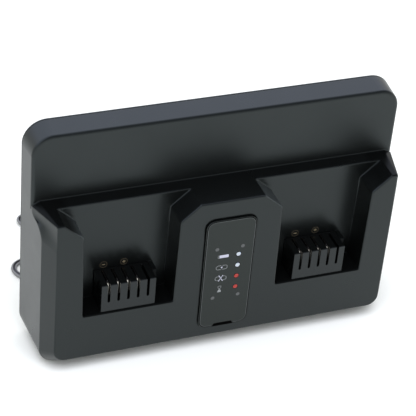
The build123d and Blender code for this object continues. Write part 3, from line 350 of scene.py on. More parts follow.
above = add(tree, "ShaderNodeMix", {0: behind, 6: DIM_FRONT, 7: BRIGHT_BACK}, data_type="RGBA")
level = add(tree, "ShaderNodeMix", {0: mirrored, 6: WHITE, 7: above}, data_type="RGBA")
tent = add(tree, "ShaderNodeBackground", {"Color": level, "Strength": 1.0})
add(tree, "ShaderNodeOutputWorld", {"Surface": tent})
bpy.context.scene.view_settings.view_transform = "Standard"
softbox_data = bpy.data.lights.new("broad_lamp", "AREA")
softbox_data.shape = "RECTANGLE"
softbox_data.size = 1.6
softbox_data.size_y = 1.2
softbox_data.energy = 24.0
softbox_data.color = linear("#f6f6ff")[:3]
softbox = bpy.data.objects.new("broad_lamp", softbox_data)
bpy.context.collection.objects.link(softbox)
softbox.visible_glossy = False
softbox.location = (-0.2, -0.7, 1.7)
case_middle = Vector((0, 0, 0.1))
softbox.rotation_euler = (case_middle - softbox.location).to_track_quat("-Z", "Y").to_euler()
FLOOR_HALF = 6.0
FLOOR_Z = -0.0002
floor_corners = [(x * FLOOR_HALF, y * FLOOR_HALF, FLOOR_Z) for x, y in ((-1, -1), (1, -1), (1, 1), (-1, 1))]
floor_mesh = bpy.data.meshes.new("floor")
floor_mesh.from_pydata(floor_corners, [], [(0, 1, 2, 3)])
floor = bpy.data.objects.new("floor", floor_mesh)
bpy.context.collection.objects.link(floor)
# Uncoated paper: pale, even and without gloss.
floor_paper = new_material("floor_paper", "#f5f8f6", 0.9, Specular_IOR_Level=0.1)[0]
floor_mesh.materials.append(floor_paper)

# Covers
# Front and rear cover are injection moulded ABS, black right through, from a finely
# satined mould, and eight screws join them. Hollows stay near black, and a face pales the
# flatter the eye meets it.
KEY_RIB_Y = -0.0165
KEY_RIB_REACH = 0.0085
GLOSS = 0.5
SHADE_GLOSS = 0.08
EDGE_RADIUS = 0.0007
CROWN_RADIUS = 0.0018
SHOULDER_RADIUS = 0.0006


def dress(material, *names):
    """Gives CAD nodes a material."""
    for name in names:
        for slot in nodes[name].material_slots:
            slot.material = material


cover_abs, tree, shader, place = new_material("moulded_black_abs", "#08090a", 0.3, IOR=1.43,
                                              Specular_Tint=linear("#effeff"))
mottle(tree, shader, place, 0.03, ("#060707", "#090a0a"), (0.27, 0.33))
spot_x, spot_y, spot_z = add(tree, "ShaderNodeSeparateXYZ", {0: place}).outputs
normal = add(tree, "ShaderNodeNewGeometry").outputs["Normal"]
normal_x, normal_y, normal_z = add(tree, "ShaderNodeSeparateXYZ", {0: normal}).outputs
aside = add(tree, "ShaderNodeMath", {0: spot_x}, operation="ABSOLUTE")
# Masks by place, in metres, and by slope: each goes from 0 to 1 between two values.
mask = {}
for name, value, start, full in (
        ("low_down", spot_z, 0.0518, 0.0514), ("high_up", spot_z, 0.104, 0.116),
        ("outer", aside, 0.116, 0.122), ("on_block", spot_y, 0.0075, 0.0060),
        ("on_plate", spot_y, 0.0055, 0.0065), ("upward", normal_z, 0.05, 0.3),
        ("lying", normal_z, 0.65, 0.8), ("to_right", normal_x, 0.25, 0.4)):
    mask[name] = add(tree, "ShaderNodeMapRange", {"Value": value, "From Min": start, "From Max": full})
mask["forward"] = add(tree, "ShaderNodeMath", {0: normal_y, 1: -0.8}, operation="LESS_THAN")
mask["rib_depth"] = add(tree, "ShaderNodeMath", {0: spot_y, 1: KEY_RIB_Y, 2: KEY_RIB_REACH},
                        operation="COMPARE")
# Two masks together make the mask of one part of the covers.
for name, first, operation, second in (
        ("bay_floor", "low_down", "MULTIPLY", "upward"), ("rib_front", "rib_depth", "MULTIPLY", "forward"),
        ("painted_shade", "bay_floor", "MAXIMUM", "rib_front"), ("crown", "high_up", "MULTIPLY", "on_block"),
        ("shoulder", "crown", "MULTIPLY", "outer"), ("crest", "shoulder", "MULTIPLY", "lying"),
        ("inner_crown", "crown", "SUBTRACT", "shoulder"), ("flare", "inner_crown", "MULTIPLY", "upward"),
        ("left_flare", "flare", "MULTIPLY", "to_right"), ("plate_front", "on_plate", "MULTIPLY", "forward")):
    mask[name] = add(tree, "ShaderNodeMath", {0: mask[first], 1: mask[second]}, operation=operation)
# The bay floors and the fronts of the key ribs mirror less, as painted shade. The lying crest
# of each shoulder mirrors less, also as painted shade. The plate's front is satined further and
# mirrors a little more, partly painted light. The left flare of each bay is roughest and mirrors
# much more, a painted highlight that makes it look paler.
gloss = add(tree, "ShaderNodeMapRange", {"Value": mask["painted_shade"], "To Min": GLOSS, "To Max": SHADE_GLOSS})
roughness = shader.inputs["Roughness"].links[0].from_socket
for part, more in (("plate_front", 0.12), ("left_flare", 0.3)):
    roughness = add(tree, "ShaderNodeMath", {0: mask[part], 1: more, 2: roughness}, operation="MULTIPLY_ADD")
# Specular level: lower on the crest as painted shade, higher on the plate's front and far higher on the left
# flare as painted light.
for part, more in (("crest", -0.42), ("plate_front", 0.1), ("left_flare", 1.4)):
    gloss = add(tree, "ShaderNodeMath", {0: mask[part], 1: more, 2: gloss}, operation="MULTIPLY_ADD")
tree.links.new(roughness.outputs[0], shader.inputs["Roughness"])
tree.links.new(gloss.outputs[0], shader.inputs["Specular IOR Level"])
# The edges are soft, and softest round the top of the block and on its shoulders.
softness = add(tree, "ShaderNodeMapRange", {"Value": mask["crown"], "To Min": EDGE_RADIUS,
                                            "To Max": CROWN_RADIUS})
radius = add(tree, "ShaderNodeMath", {0: mask["shoulder"], 1: SHOULDER_RADIUS, 2: softness},
             operation="MULTIPLY_ADD")
bump = grain(tree, shader, place, 0.0012, 0.0000025)
edges = add(tree, "ShaderNodeBevel", {"Radius": radius}, samples=8)
tree.links.new(edges.outputs["Normal"], bump.inputs["Normal"])
dress(cover_abs, "front_cover", "rear_cover")

# Status panel
# A separate plate of black ABS, snapped into the pillar by two studs. Its mould was
# smoother than the case's, so it mirrors a little more.
panel_low, panel_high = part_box("status_panel")
PANEL_Y = panel_low[1]
panel_abs, tree, shader, place = new_material("smooth_black_abs", "#08090a", 0.17, IOR=1.43,
                                              Specular_Tint=linear("#f0fffa"))
mottle(tree, shader, place, 0.02, ("#070808", "#0b0c0c"), (0.14, 0.2))
bump = grain(tree, shader, place, 0.0014, 0.000002)
edges = add(tree, "ShaderNodeBevel", {"Radius": 0.0005}, samples=6)
tree.links.new(edges.outputs["Normal"], bump.inputs["Normal"])
dress(panel_abs, "status_panel")

# Printed marks
# One mark beside each lamp, pad printed on the panel: a full battery, a battery with a
# bolt, a crossed battery and an hourglass. A paler ink picks out the fill, bolt and cross.
INK = 0.00006
# The lamps stand in a column, and each mark is level with its lamp.
LAMP_X = 0.0075
LAMP_TOP = 0.0878
LAMP_PITCH = 0.0103


def printed(name, outlines, material):
    """Flat shapes of ink on the panel's front, each outline a list of (x, z) in metres."""
    shape = bmesh.new()
    for outline in outlines:
        front = [shape.verts.new((x, PANEL_Y - INK, z)) for x, z in outline]
        rear = [shape.verts.new((x, PANEL_Y + INK, z)) for x, z in outline]
        shape.faces.new(front)
        shape.faces.new(list(reversed(rear)))
        for number in range(len(front)):
            following = (number + 1) % len(front)
            shape.faces.new((front[number], rear[number], rear[following], front[following]))
    bmesh.ops.recalc_face_normals(shape, faces=shape.faces)
    mesh = bpy.data.meshes.new(name)
    shape.to_mesh(mesh)
    shape.free()
    mesh.materials.append(material)
    piece = new_piece(name, mesh, smooth=False)
    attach(piece, "root")


def stroke(points, width):
    """The quads of a line of that width through points, one for each run."""
    quads = []
    for (x0, z0), (x1, z1) in zip(points, points[1:]):
        run = math.hypot(x1 - x0, z1 - z0)
        ax, az = (x1 - x0) / run * width / 2, (z1 - z0) / run * width / 2
        quads.append([(x0 - ax - az, z0 - az + ax), (x1 + ax - az, z1 + az + ax),
                      (x1 + ax + az, z1 + az - ax), (x0 - ax + az, z0 - az - ax)])
    return quads


def placed(x, z, points):
    """Points moved to a place on the panel."""
    return [(x + a, z + b) for a, b in points]


LINE = 0.0004
CROSS_LINE = 0.0005
GLASS_LINE = 0.00038
BATTERY_X = -0.0052
GLASS_X = -0.0054


def battery_halves(z, gap):
    """Outline of a lying battery with a gap in its middle, as two strokes."""
    left = placed(BATTERY_X, z, [(-gap, 0.0018), (-0.0031, 0.0018), (-0.0044, 0.0009),
                                 (-0.0044, -0.0010), (-0.0034, -0.0018), (-gap, -0.0018)])
    return stroke(left, LINE) + stroke([(2 * BATTERY_X - x, height) for x, height in left], LINE)


# The inks dry matte. The thin strokes look greyer than the pale fills.
ink, tree, shader, place = new_material("printed_grey_ink", "#7e8284", 0.5)
mottle(tree, shader, place, 0.0008, ("#707476", "#8c9092"), (0.45, 0.6))
pale_ink, tree, shader, place = new_material("printed_pale_ink", "#b0b1c2", 0.5)
mottle(tree, shader, place, 0.0012, ("#a6a7b8", "#bcbdce"), (0.45, 0.6))
full_z, charge_z, fault_z, wait_z = (LAMP_TOP - row * LAMP_PITCH for row in range(4))
full = placed(0, full_z, [(-0.0078, -0.0013), (-0.0008, -0.0013), (-0.0005, -0.0009),
                          (-0.0005, 0.0009), (-0.0008, 0.0013), (-0.0078, 0.0013)])
full_end = placed(0, full_z, [(-0.0080, 0.0011), (-0.0089, 0.0011), (-0.0089, -0.0011), (-0.0080, -0.0011)])
bolt = placed(BATTERY_X, charge_z, [(0.0005, 0.0014), (-0.0009, -0.0003), (-0.0001, -0.0003),
                                    (-0.0005, -0.0014), (0.0009, 0.0003), (0.0001, 0.0003)])
cross = stroke(placed(BATTERY_X, fault_z, [(-0.0016, -0.0026), (0.0016, 0.0026)]), CROSS_LINE)
cross += stroke(placed(BATTERY_X, fault_z, [(-0.0016, 0.0026), (0.0016, -0.0026)]), CROSS_LINE)
upper_glass = placed(GLASS_X, wait_z, [(0, 0), (-0.0012, 0.0013), (-0.0012, 0.0028),
                                       (0.0012, 0.0028), (0.0012, 0.0013), (0, 0)])
sand = placed(GLASS_X, wait_z, [(-0.0015, -0.0030), (0.0015, -0.0030), (0.0012, -0.0014),
                                (0, 0), (-0.0012, -0.0014)])
printed("mark_full", [full], pale_ink)
printed("mark_full_end", stroke(full_end, LINE), ink)
printed("mark_charging", battery_halves(charge_z, 0.0008), ink)
printed("mark_bolt", [bolt], pale_ink)
printed("mark_fault", battery_halves(fault_z, 0.0016), ink)
printed("mark_cross", cross, pale_ink)
printed("mark_wait", stroke(upper_glass, GLASS_LINE) + [sand], ink)

# Bead and notch
# A fine bead is moulded round the panel's edge. Its groove is drawn as a black line of painted
# shade, with a paler line inside it as a painted highlight on the bead's top. The notch at its
# foot, for prying the panel out, opens into a well, drawn as a black sheet of painted shade.
PANEL_ROUND = 0.007
NOTCH_HALF = 0.0092


def panel_ring(inset):
    """The panel's rounded outline that far inside its edge, from one side of the notch to the other."""
    half, low, high = panel_high[0] - inset, panel_low[2] + inset, panel_high[2] - inset
    round_off = PANEL_ROUND - inset
    spots = []
    for corner, (x, z) in enumerate(((half, high), (-half, high), (-half, low), (half, low))):
        for step in range(CORNER_STEPS + 1):
            angle = math.pi / 2 * (corner + step / CORNER_STEPS)
            spots.append((x - math.copysign(round_off, x) + round_off * math.cos(angle),
                          z - (round_off if z == high else -round_off) + round_off * math.sin(angle)))
    foot = [number for number, (x, z) in enumerate(spots) if z < low + SAME_SPOT]
    return [(NOTCH_HALF, low)] + spots[foot[-1]:] + spots[:foot[0] + 1] + [(-NOTCH_HALF, low)]


# A flat black is painted shade in the bead's groove, the notch's well and the lamp gaps; a paler grey is a
# painted highlight on the bead's top.
shade_black, tree, shader, place = new_material("painted_shade_black", "#030303", 0.95, Specular_IOR_Level=0.02)
mottle(tree, shader, place, 0.002, ("#020202", "#050505"), (0.9, 1.0))
bead_highlight, tree, shader, place = new_material("bead_painted_highlight", "#474c4d", 0.3)
mottle(tree, shader, place, 0.004, ("#404445", "#515657"), (0.25, 0.35))
printed("bead_line_shade", stroke(panel_ring(0.0008), 0.0006), shade_black)
printed("bead_edge_highlight", stroke(panel_ring(0.0013), 0.00032), bead_highlight)
# The notch's well: a black sheet of painted shade.
well = [(-0.0088, 0.0206), (0.0088, 0.0206), (0.0069, 0.0233), (-0.0069, 0.0233)]
printed("notch_well_shade", [well], shade_black)

# Gate marks
# Four round stubs of the mould's gates round the marks and lamps, milled off a hair proud
# of the panel. The torn plastic is duller and slightly paler than the skin.


def new_tree(name, sizes):
    """A geometry tree with a named input for each size: the tree and its sizes as sockets."""
    tree = bpy.data.node_groups.new(name, "GeometryNodeTree")
    tree.interface.new_socket("Geometry", in_out="OUTPUT", socket_type="NodeSocketGeometry")
    for size, start in sizes.items():
        kind = "NodeSocketVector" if isinstance(start, tuple) else "NodeSocketFloat"
        tree.interface.new_socket(size, in_out="INPUT", socket_type=kind).default_value = start
    return tree, tree.nodes.new("NodeGroupInput").outputs


def close_tree(tree, geometry, material):
    """Realizes the instances and sets the material."""
    real = add(tree, "GeometryNodeRealizeInstances", {"Geometry": geometry})
    dressed = add(tree, "GeometryNodeSetMaterial", {"Geometry": real, "Material": material})
    add(tree, "NodeGroupOutput", {"Geometry": dressed})


def grown(name, tree, values):
    """The plain mesh piece that a geometry tree makes, with its inputs set by name."""
    host = bpy.data.objects.new(name + "_host", bpy.data.meshes.new(name + "_host"))
    bpy.context.collection.objects.link(host)
    modifier = host.modifiers.new("grow", "NODES")
    modifier.node_group = tree
    for item in tree.interface.items_tree:
        if item.item_type == "SOCKET" and item.in_out == "INPUT" and item.name in values:
            modifier[item.identifier] = values[item.name]
    bpy.context.view_layer.update()
    mesh = bpy.data.meshes.new_from_object(host.evaluated_get(bpy.context.evaluated_depsgraph_get()))
    host.modifiers.remove(modifier)
    bpy.data.objects.remove(host)
    piece = bpy.data.objects.new(name, mesh)
    bpy.context.collection.objects.link(piece)
    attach(piece, "root")


gate_abs, tree, shader, place = new_material("gate_mark_abs", "#4a4c4d", 0.55)
mottle(tree, shader, place, 0.0009, ("#3c3e3f", "#555859"), (0.5, 0.65))
# Turns what is drawn level in x and y to stand upright.
UPRIGHT = (math.pi / 2, 0, 0)
tree, size = new_tree("gate_marks", {"Radius": 0.0015, "Thickness": 0.0002, "Spread": (0.0204, 0.0, 0.046),
                                     "Centre": (0.0, 0.0, 0.0)})
spread = add(tree, "ShaderNodeSeparateXYZ", {0: size["Spread"]}).outputs
spots = add(tree, "GeometryNodeMeshGrid", {"Size X": spread["X"], "Size Y": spread["Z"],
                                           "Vertices X": 2, "Vertices Y": 2})
standing = add(tree, "GeometryNodeTransform", {"Geometry": spots, "Translation": size["Centre"],
                                               "Rotation": UPRIGHT})
disc = add(tree, "GeometryNodeMeshCylinder", {"Vertices": 24, "Radius": size["Radius"],
                                              "Depth": size["Thickness"]})
facing = add(tree, "GeometryNodeTransform", {"Geometry": disc, "Rotation": UPRIGHT})
marks = add(tree, "GeometryNodeInstanceOnPoints", {"Points": standing, "Instance": facing})
close_tree(tree, marks, gate_abs)
grown("gate_marks", tree, {"Centre": (0.0, PANEL_Y, 0.072)})

# Status lamps
# Light pipes moulded in milky acrylic, two clear and two red, pushed through the panel
# with their faces level with it. Unlit, the clear ones read nearly white and the red
# ones brick red.
clear_acrylic, tree, shader, place = new_material("milky_clear_acrylic", "#bfc1c9", 0.22,
                                                  Subsurface_Weight=0.2)
mottle(tree, shader, place, 0.002, ("#b2b4be", "#cccdd4"), (0.15, 0.3))
dress(clear_acrylic, "led_full", "led_charging")
red_acrylic, tree, shader, place = new_material("milky_red_acrylic", "#a42318", 0.22,
                                                Subsurface_Weight=0.2)
mottle(tree, shader, place, 0.002, ("#951c13", "#b32c20"), (0.15, 0.3))
dress(red_acrylic, "led_fault", "led_wait")
# Each hole is a little wider than its light pipe, and the shade in the gap is drawn as a black ring of
# painted shade.
tree, size = new_tree("lamp_gap_shade", {"Radius": 0.00193, "Line": 0.00013, "Pitch": LAMP_PITCH,
                                    "Start": (0.0, 0.0, 0.0)})
step_down = add(tree, "ShaderNodeMath", {0: size["Pitch"], 1: -1.0}, operation="MULTIPLY")
offset = add(tree, "ShaderNodeCombineXYZ", {"Z": step_down})
row = add(tree, "GeometryNodeMeshLine", {"Count": 4, "Start Location": size["Start"], "Offset": offset})
gap_path = add(tree, "GeometryNodeCurvePrimitiveCircle", {"Resolution": 32, "Radius": size["Radius"]})
gap_line = add(tree, "GeometryNodeCurvePrimitiveCircle", {"Resolution": 6, "Radius": size["Line"]})
gap = add(tree, "GeometryNodeCurveToMesh", {"Curve": gap_path, "Profile Curve": gap_line})
facing = add(tree, "GeometryNodeTransform", {"Geometry": gap, "Rotation": UPRIGHT})
gaps = add(tree, "GeometryNodeInstanceOnPoints", {"Points": row, "Instance": facing})
close_tree(tree, gaps, shade_black)
grown("lamp_gap_shade", tree, {"Start": (LAMP_X, PANEL_Y, LAMP_TOP)})

# Terminal blocks
# Blocks with five slots, moulded in glass-filled nylon and screwed to the bay's back from
# behind. The nylon comes out of the mould a little greyer and duller than ABS.
filled_nylon, tree, shader, place = new_material("glass_filled_nylon", "#070808", 0.2, IOR=1.43,
                                                 Specular_Tint=linear("#f1fcff"))
mottle(tree, shader, place, 0.004, ("#060707", "#0a0b0b"), (0.17, 0.24))
bump = grain(tree, shader, place, 0.0006, 0.000003)
edges = add(tree, "ShaderNodeBevel", {"Radius": 0.0003}, samples=6)
tree.links.new(edges.outputs["Normal"], bump.inputs["Normal"])
dress(filled_nylon, "terminal_block_left", "terminal_block_right")

# Contacts
# Blades stamped from phosphor bronze strip, nickel plated, and pressed into the blocks.
# The plating shows streaks along the strip, drawn coarser than they are, to show.
STREAK_WIDTH = 0.0011111
STREAK_LENGTH = 0.0166667
plated_bronze, tree, shader, place = new_material("nickel_plated_bronze", "#cfc6ae", 0.28, Metallic=1.0)
mottle(tree, shader, place, 0.003, ("#c9b896", "#e6e2d6"), (0.16, 0.32))
stretched = add(tree, "ShaderNodeMapping", {
    "Vector": place, "Scale": (1 / STREAK_WIDTH, 1 / STREAK_WIDTH, 1 / STREAK_LENGTH)})
streaks = add(tree, "ShaderNodeTexNoise", {"Vector": stretched, "Scale": 1.0, "Detail": 2.0})
bump = add(tree, "ShaderNodeBump", {"Height": streaks, "Distance": 0.00001})
tree.links.new(bump.outputs["Normal"], shader.inputs["Normal"])
dress(plated_bronze, "plug_pins")
# The blades are painted nearly black, as painted shade, except at the front edges near the
# tips, which are painted pale as a painted highlight on the plated metal.
bronze_shade_tip_highlight = plated_bronze.copy()
bronze_shade_tip_highlight.name = "bronze_shade_tip_highlight"
tree = bronze_shade_tip_highlight.node_tree
shader = tree.nodes["Principled BSDF"]
place = add(tree, "ShaderNodeTexCoord").outputs["Object"]
spot = add(tree, "ShaderNodeSeparateXYZ", {0: place}).outputs
tip_band = add(tree, "ShaderNodeMapRange", {"Value": spot["Z"], "From Min": 0.0635, "From Max": 0.0705})
below_top = add(tree, "ShaderNodeMapRange", {"Value": spot["Z"], "From Min": 0.0750, "From Max": 0.0740})
in_front = add(tree, "ShaderNodeMapRange", {"Value": spot["Y"], "From Min": -0.0195, "From Max": -0.0208})
front_edge = add(tree, "ShaderNodeMath", {0: tip_band, 1: in_front}, operation="MULTIPLY")
tip_highlight = add(tree, "ShaderNodeMath", {0: front_edge, 1: below_top}, operation="MULTIPLY")
colour = add(tree, "ShaderNodeMix", {0: tip_highlight, 6: linear("#0d0c0b"), 7: linear("#e4dfd2")}, data_type="RGBA")
tree.links.new(colour.outputs[2], shader.inputs["Base Color"])
shader.inputs["Metallic"].default_value = 0.25
dress(bronze_shade_tip_highlight, "contacts_left", "contacts_right")

# Polarity marks
# Above each block the bay wall carries a minus and a plus, each in a ring, hot stamped in
# gold foil. The foil is dull on the rings and shines only on the strokes.
MARK_Y = -0.00525
MARK_Z = 0.0792
FOIL_LINE = 0.00045
FOIL_FLATNESS = 0.25
ring_foil, tree, shader, place = new_material("dull_gold_foil", "#40392b", 0.6)
mottle(tree, shader, place, 0.0012, ("#383226", "#4c4434"), (0.5, 0.7))
foil, tree, shader, place = new_material("pale_gold_foil", "#9c8f72", 0.45, Metallic=0.2)
mottle(tree, shader, place, 0.0012, ("#8c8066", "#b3a687"), (0.35, 0.6))


def stamped(tree, shape, place):
    """Presses a shape drawn level in x and y thin, turns it upright and moves it to its place."""
    thin = add(tree, "GeometryNodeTransform", {"Geometry": shape, "Scale": (1, 1, FOIL_FLATNESS)})
    return add(tree, "GeometryNodeTransform", {"Geometry": thin, "Rotation": UPRIGHT, "Translation": place})


ring_tree, size = new_tree("polarity_ring", {"Radius": 0.0027, "Line": FOIL_LINE, "Place": (0.0, 0.0, 0.0)})
half_line = add(ring_tree, "ShaderNodeMath", {0: size["Line"], 1: 0.5}, operation="MULTIPLY")
ring_path = add(ring_tree, "GeometryNodeCurvePrimitiveCircle", {"Resolution": 40, "Radius": size["Radius"]})
ring_line = add(ring_tree, "GeometryNodeCurvePrimitiveCircle", {"Resolution": 6, "Radius": half_line})
ring = add(ring_tree, "GeometryNodeCurveToMesh", {"Curve": ring_path, "Profile Curve": ring_line})
close_tree(ring_tree, stamped(ring_tree, ring, size["Place"]), ring_foil)
sign_tree, size = new_tree("polarity_sign", {"Length": 0.00243, "Line": FOIL_LINE, "Upright": 0.0,
                                             "Place": (0.0, 0.0, 0.0)})
bar_size = add(sign_tree, "ShaderNodeCombineXYZ", {"X": size["Length"], "Y": size["Line"], "Z": size["Line"]})
bar = add(sign_tree, "GeometryNodeMeshCube", {"Size": bar_size})
stem_scale = add(sign_tree, "ShaderNodeCombineXYZ", {axis: size["Upright"] for axis in "XYZ"})
stem = add(sign_tree, "GeometryNodeTransform", {"Geometry": bar, "Rotation": (0, 0, math.pi / 2),
                                                "Scale": stem_scale})
sign = add(sign_tree, "GeometryNodeJoinGeometry")
for part in (stem, bar):
    sign_tree.links.new(part.outputs[0], sign.inputs[0])
close_tree(sign_tree, stamped(sign_tree, sign, size["Place"]), foil)
for name, x, upright in (("left_minus", -0.0903, 0.0), ("left_plus", -0.0744, 1.0),
                         ("right_minus", 0.0641, 0.0), ("right_plus", 0.0810, 1.0)):
    mark_place = (x, MARK_Y, MARK_Z)
    grown("ring_" + name, ring_tree, {"Place": mark_place})
    grown("sign_" + name, sign_tree, {"Upright": upright, "Place": mark_place})

# Screws
# Zinc plated steel screws with a pan head and a cross recess. The eight in the rear
# cover sit in round wells; the others hold the boards and blocks inside. The zinc gives
# a soft bluish grey shine with a fine bloom.
zinc_steel, tree, shader, place = new_material("zinc_plated_steel", "#b4b8bd", 0.34, Metallic=1.0)
mottle(tree, shader, place, 0.0015, ("#a4a8ae", "#c3c6c9"), (0.26, 0.44))
dress(zinc_steel, "board_screws", "status_screws", "block_screws", "case_screws")

# Feet, strain relief and plug
# The feet are soft rubber discs glued under the case, matte and a little grey.
# The strain relief and the plug are PVC moulded onto the lead, duller than its cover.
foot_rubber, tree, shader, place = new_material("moulded_black_rubber", "#1c1c1d", 0.8)
mottle(tree, shader, place, 0.002, ("#181819", "#232324"), (0.7, 0.9))
grain(tree, shader, place, 0.0006, 0.00003)
dress(foot_rubber, "rubber_feet")
moulded_pvc, tree, shader, place = new_material("moulded_black_pvc", "#1d1e20", 0.45)
mottle(tree, shader, place, 0.008, ("#1a1b1d", "#222326"), (0.4, 0.52))
grain(tree, shader, place, 0.0006, 0.000025)
dress(moulded_pvc, "strain_relief", "plug_body", "inner_lead", "cord_tail", "cord_hank", "plug_lead",
      "cord_tie")
# Five ribs across the top of the plug give the fingers a grip.
tree, size = new_tree("grip_ribs", {"Rib": 0.0006, "Half Length": 0.0065, "Pitch": 0.0026,
                                    "Start": (0.0, 0.0, 0.0)})
pitch = add(tree, "ShaderNodeCombineXYZ", {"X": size["Pitch"]})
spots = add(tree, "GeometryNodeMeshLine", {"Count": 5, "Start Location": size["Start"], "Offset": pitch})
backward = add(tree, "ShaderNodeMath", {0: size["Half Length"], 1: -1.0}, operation="MULTIPLY")
near_end = add(tree, "ShaderNodeCombineXYZ", {"Y": backward})
far_end = add(tree, "ShaderNodeCombineXYZ", {"Y": size["Half Length"]})
rib_line = add(tree, "GeometryNodeCurvePrimitiveLine", {"Start": near_end, "End": far_end})
rib_section = add(tree, "GeometryNodeCurvePrimitiveCircle", {"Resolution": 12, "Radius": size["Rib"]})
rib = add(tree, "GeometryNodeCurveToMesh", {"Curve": rib_line, "Profile Curve": rib_section,
                                            "Fill Caps": True})
grip = add(tree, "GeometryNodeInstanceOnPoints", {"Points": spots, "Instance": rib})
close_tree(tree, grip, moulded_pvc)
grown("grip_ribs", tree, {"Start": (-0.0600, BACK_Y + 0.1465, 0.0130)})

# Boards
# Glass epoxy laminate under a green solder mask, screwed to bosses inside the case. The
# copper runs below the mask show as slightly lighter bands.
solder_mask, tree, shader, place = new_material("green_solder_mask", "#1c5a38", 0.3)
# A brick of Blender's pattern is 0.5 long at scale 1.
BRICK = 0.5
COPPER_RUN = 0.0055556
facing = add(tree, "ShaderNodeMapping", {"Vector": place, "Rotation": UPRIGHT})
runs = add(tree, "ShaderNodeTexBrick", {"Vector": facing, "Scale": BRICK / COPPER_RUN, "Mortar Size": 0.03,
                                        "Color1": linear("#1a5634"), "Color2": linear("#246b42"),
                                        "Mortar": linear("#123d25")})
tree.links.new(runs.outputs["Color"], shader.inputs["Base Color"])
dress(solder_mask, "main_board", "status_board")
# The back of the main board is dotted with bright joints of tin solder that glint
# through the vents.
solder, tree, shader, place = new_material("tin_solder", "#c3c4c2", 0.3, Metallic=1.0)
mottle(tree, shader, place, 0.001, ("#b0b1ae", "#d6d7d5"), (0.2, 0.42))
tree, size = new_tree("solder_joints", {"Joint": 0.0009, "Width": 0.170, "Height": 0.070, "Share": 0.4,
                                        "Shift": 0.0018, "Middle": (0.0, 0.0, 0.0)})
holes = add(tree, "GeometryNodeMeshGrid", {"Size X": size["Width"], "Size Y": size["Height"],
                                           "Vertices X": 30, "Vertices Y": 13})
standing = add(tree, "GeometryNodeTransform", {"Geometry": holes, "Translation": size["Middle"],
                                               "Rotation": UPRIGHT})
reach = add(tree, "ShaderNodeCombineXYZ", {"X": size["Shift"], "Z": size["Shift"]})
shift = add(tree, "FunctionNodeRandomValue", {"Max": reach, "Seed": 5}, data_type="FLOAT_VECTOR")
strewn = add(tree, "GeometryNodeSetPosition", {"Geometry": standing, "Offset": shift})
chosen = add(tree, "FunctionNodeRandomValue", {"Probability": size["Share"], "Seed": 11}, data_type="BOOLEAN")
drop = add(tree, "GeometryNodeMeshUVSphere", {"Segments": 10, "Rings": 6, "Radius": size["Joint"]})
flat_drop = add(tree, "GeometryNodeTransform", {"Geometry": drop, "Scale": (1, 0.55, 1)})
joints = add(tree, "GeometryNodeInstanceOnPoints", {"Points": strewn, "Selection": chosen,
                                                    "Instance": flat_drop})
close_tree(tree, joints, solder)
grown("solder_joints", tree, {"Middle": (0.0, 0.0228, 0.076)})

# Transformer and choke
# A sintered ferrite core, dark grey and dull, round a satin black nylon bobbin whose
# copper is wrapped in glossy yellow polyester tape. The choke is a wrapped ring on the
# same board.
ferrite, tree, shader, place = new_material("sintered_ferrite", "#313236", 0.7)
mottle(tree, shader, place, 0.0006, ("#2a2b2e", "#3b3c41"), (0.6, 0.8))
grain(tree, shader, place, 0.0004, 0.00003)
dress(ferrite, "transformer_core")
tape, tree, shader, place = new_material("yellow_polyester_tape", "#c79b2a", 0.25)
# Blender's waves stand this far apart at scale 1.
WAVE = math.tau / 20
TAPE_LAP = 0.002618
laps = add(tree, "ShaderNodeTexWave", {"Vector": place, "Scale": WAVE / TAPE_LAP, "Distortion": 0.4},
           bands_direction="Z")
colour = add(tree, "ShaderNodeMix", {0: laps.outputs["Fac"], 6: linear("#b9861c"), 7: linear("#d8ae3c")},
             data_type="RGBA")
tree.links.new(colour.outputs[2], shader.inputs["Base Color"])
dress(tape, "transformer_winding", "choke")
bobbin_nylon, tree, shader, place = new_material("moulded_black_nylon", "#191919", 0.55)
mottle(tree, shader, place, 0.003, ("#151515", "#202020"), (0.5, 0.6))
dress(bobbin_nylon, "transformer_bobbin")

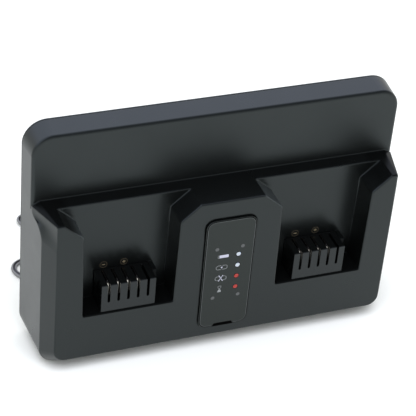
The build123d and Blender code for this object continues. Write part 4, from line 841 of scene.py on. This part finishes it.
# Capacitors, fuse, heat sinks and transistors
# Cans in a shrunk, glossy dark blue sleeve, a clear glass fuse in brass clips, and bare
# extruded aluminium sinks that carry the transistors in their dull black epoxy. All are
# soldered to the main board.
sleeve, tree, shader, place = new_material("shrunk_blue_sleeve", "#16233d", 0.28)
mottle(tree, shader, place, 0.004, ("#131f37", "#1c2b49"), (0.22, 0.34))
dress(sleeve, "input_capacitors", "output_capacitors")
fuse_glass, tree, shader, place = new_material("fuse_glass_tube", "#dfe4e6", 0.08, Transmission_Weight=0.8)
mottle(tree, shader, place, 0.006, ("#d6dcde", "#e8ecee"), (0.05, 0.15))
dress(fuse_glass, "fuse")
clip_brass, tree, shader, place = new_material("rolled_brass", "#c2a25c", 0.3, Metallic=1.0)
mottle(tree, shader, place, 0.002, ("#b0904c", "#d0b26e"), (0.22, 0.4))
dress(clip_brass, "fuse_clips")
extruded, tree, shader, place = new_material("extruded_aluminium", "#b9bbbe", 0.35, Metallic=1.0)
mottle(tree, shader, place, 0.002, ("#aaacb0", "#c6c8ca"), (0.28, 0.45))
dress(extruded, "heat_sink_left", "heat_sink_right")
epoxy, tree, shader, place = new_material("moulded_epoxy", "#1b1b1c", 0.5)
mottle(tree, shader, place, 0.001, ("#171718", "#222223"), (0.45, 0.6))
dress(epoxy, "power_transistors")

# Inner wires
# Wires in satin red PVC, soldered from the blades to the board, and a ribbed grey ribbon
# cable between the two boards.
wire_pvc, tree, shader, place = new_material("red_wire_pvc", "#a3201c", 0.35)
mottle(tree, shader, place, 0.004, ("#951b18", "#b02822"), (0.3, 0.42))
dress(wire_pvc, "contact_wires_left", "contact_wires_right")
ribbon, tree, shader, place = new_material("grey_ribbon_pvc", "#8c8d8f", 0.4)
RIBBON_CORE = 0.0024166
ribs = add(tree, "ShaderNodeTexWave", {"Vector": place, "Scale": WAVE / RIBBON_CORE}, bands_direction="X")
bump = add(tree, "ShaderNodeBump", {"Height": ribs.outputs["Fac"], "Distance": 0.0002})
tree.links.new(bump.outputs["Normal"], shader.inputs["Normal"])
dress(ribbon, "ribbon_cable")
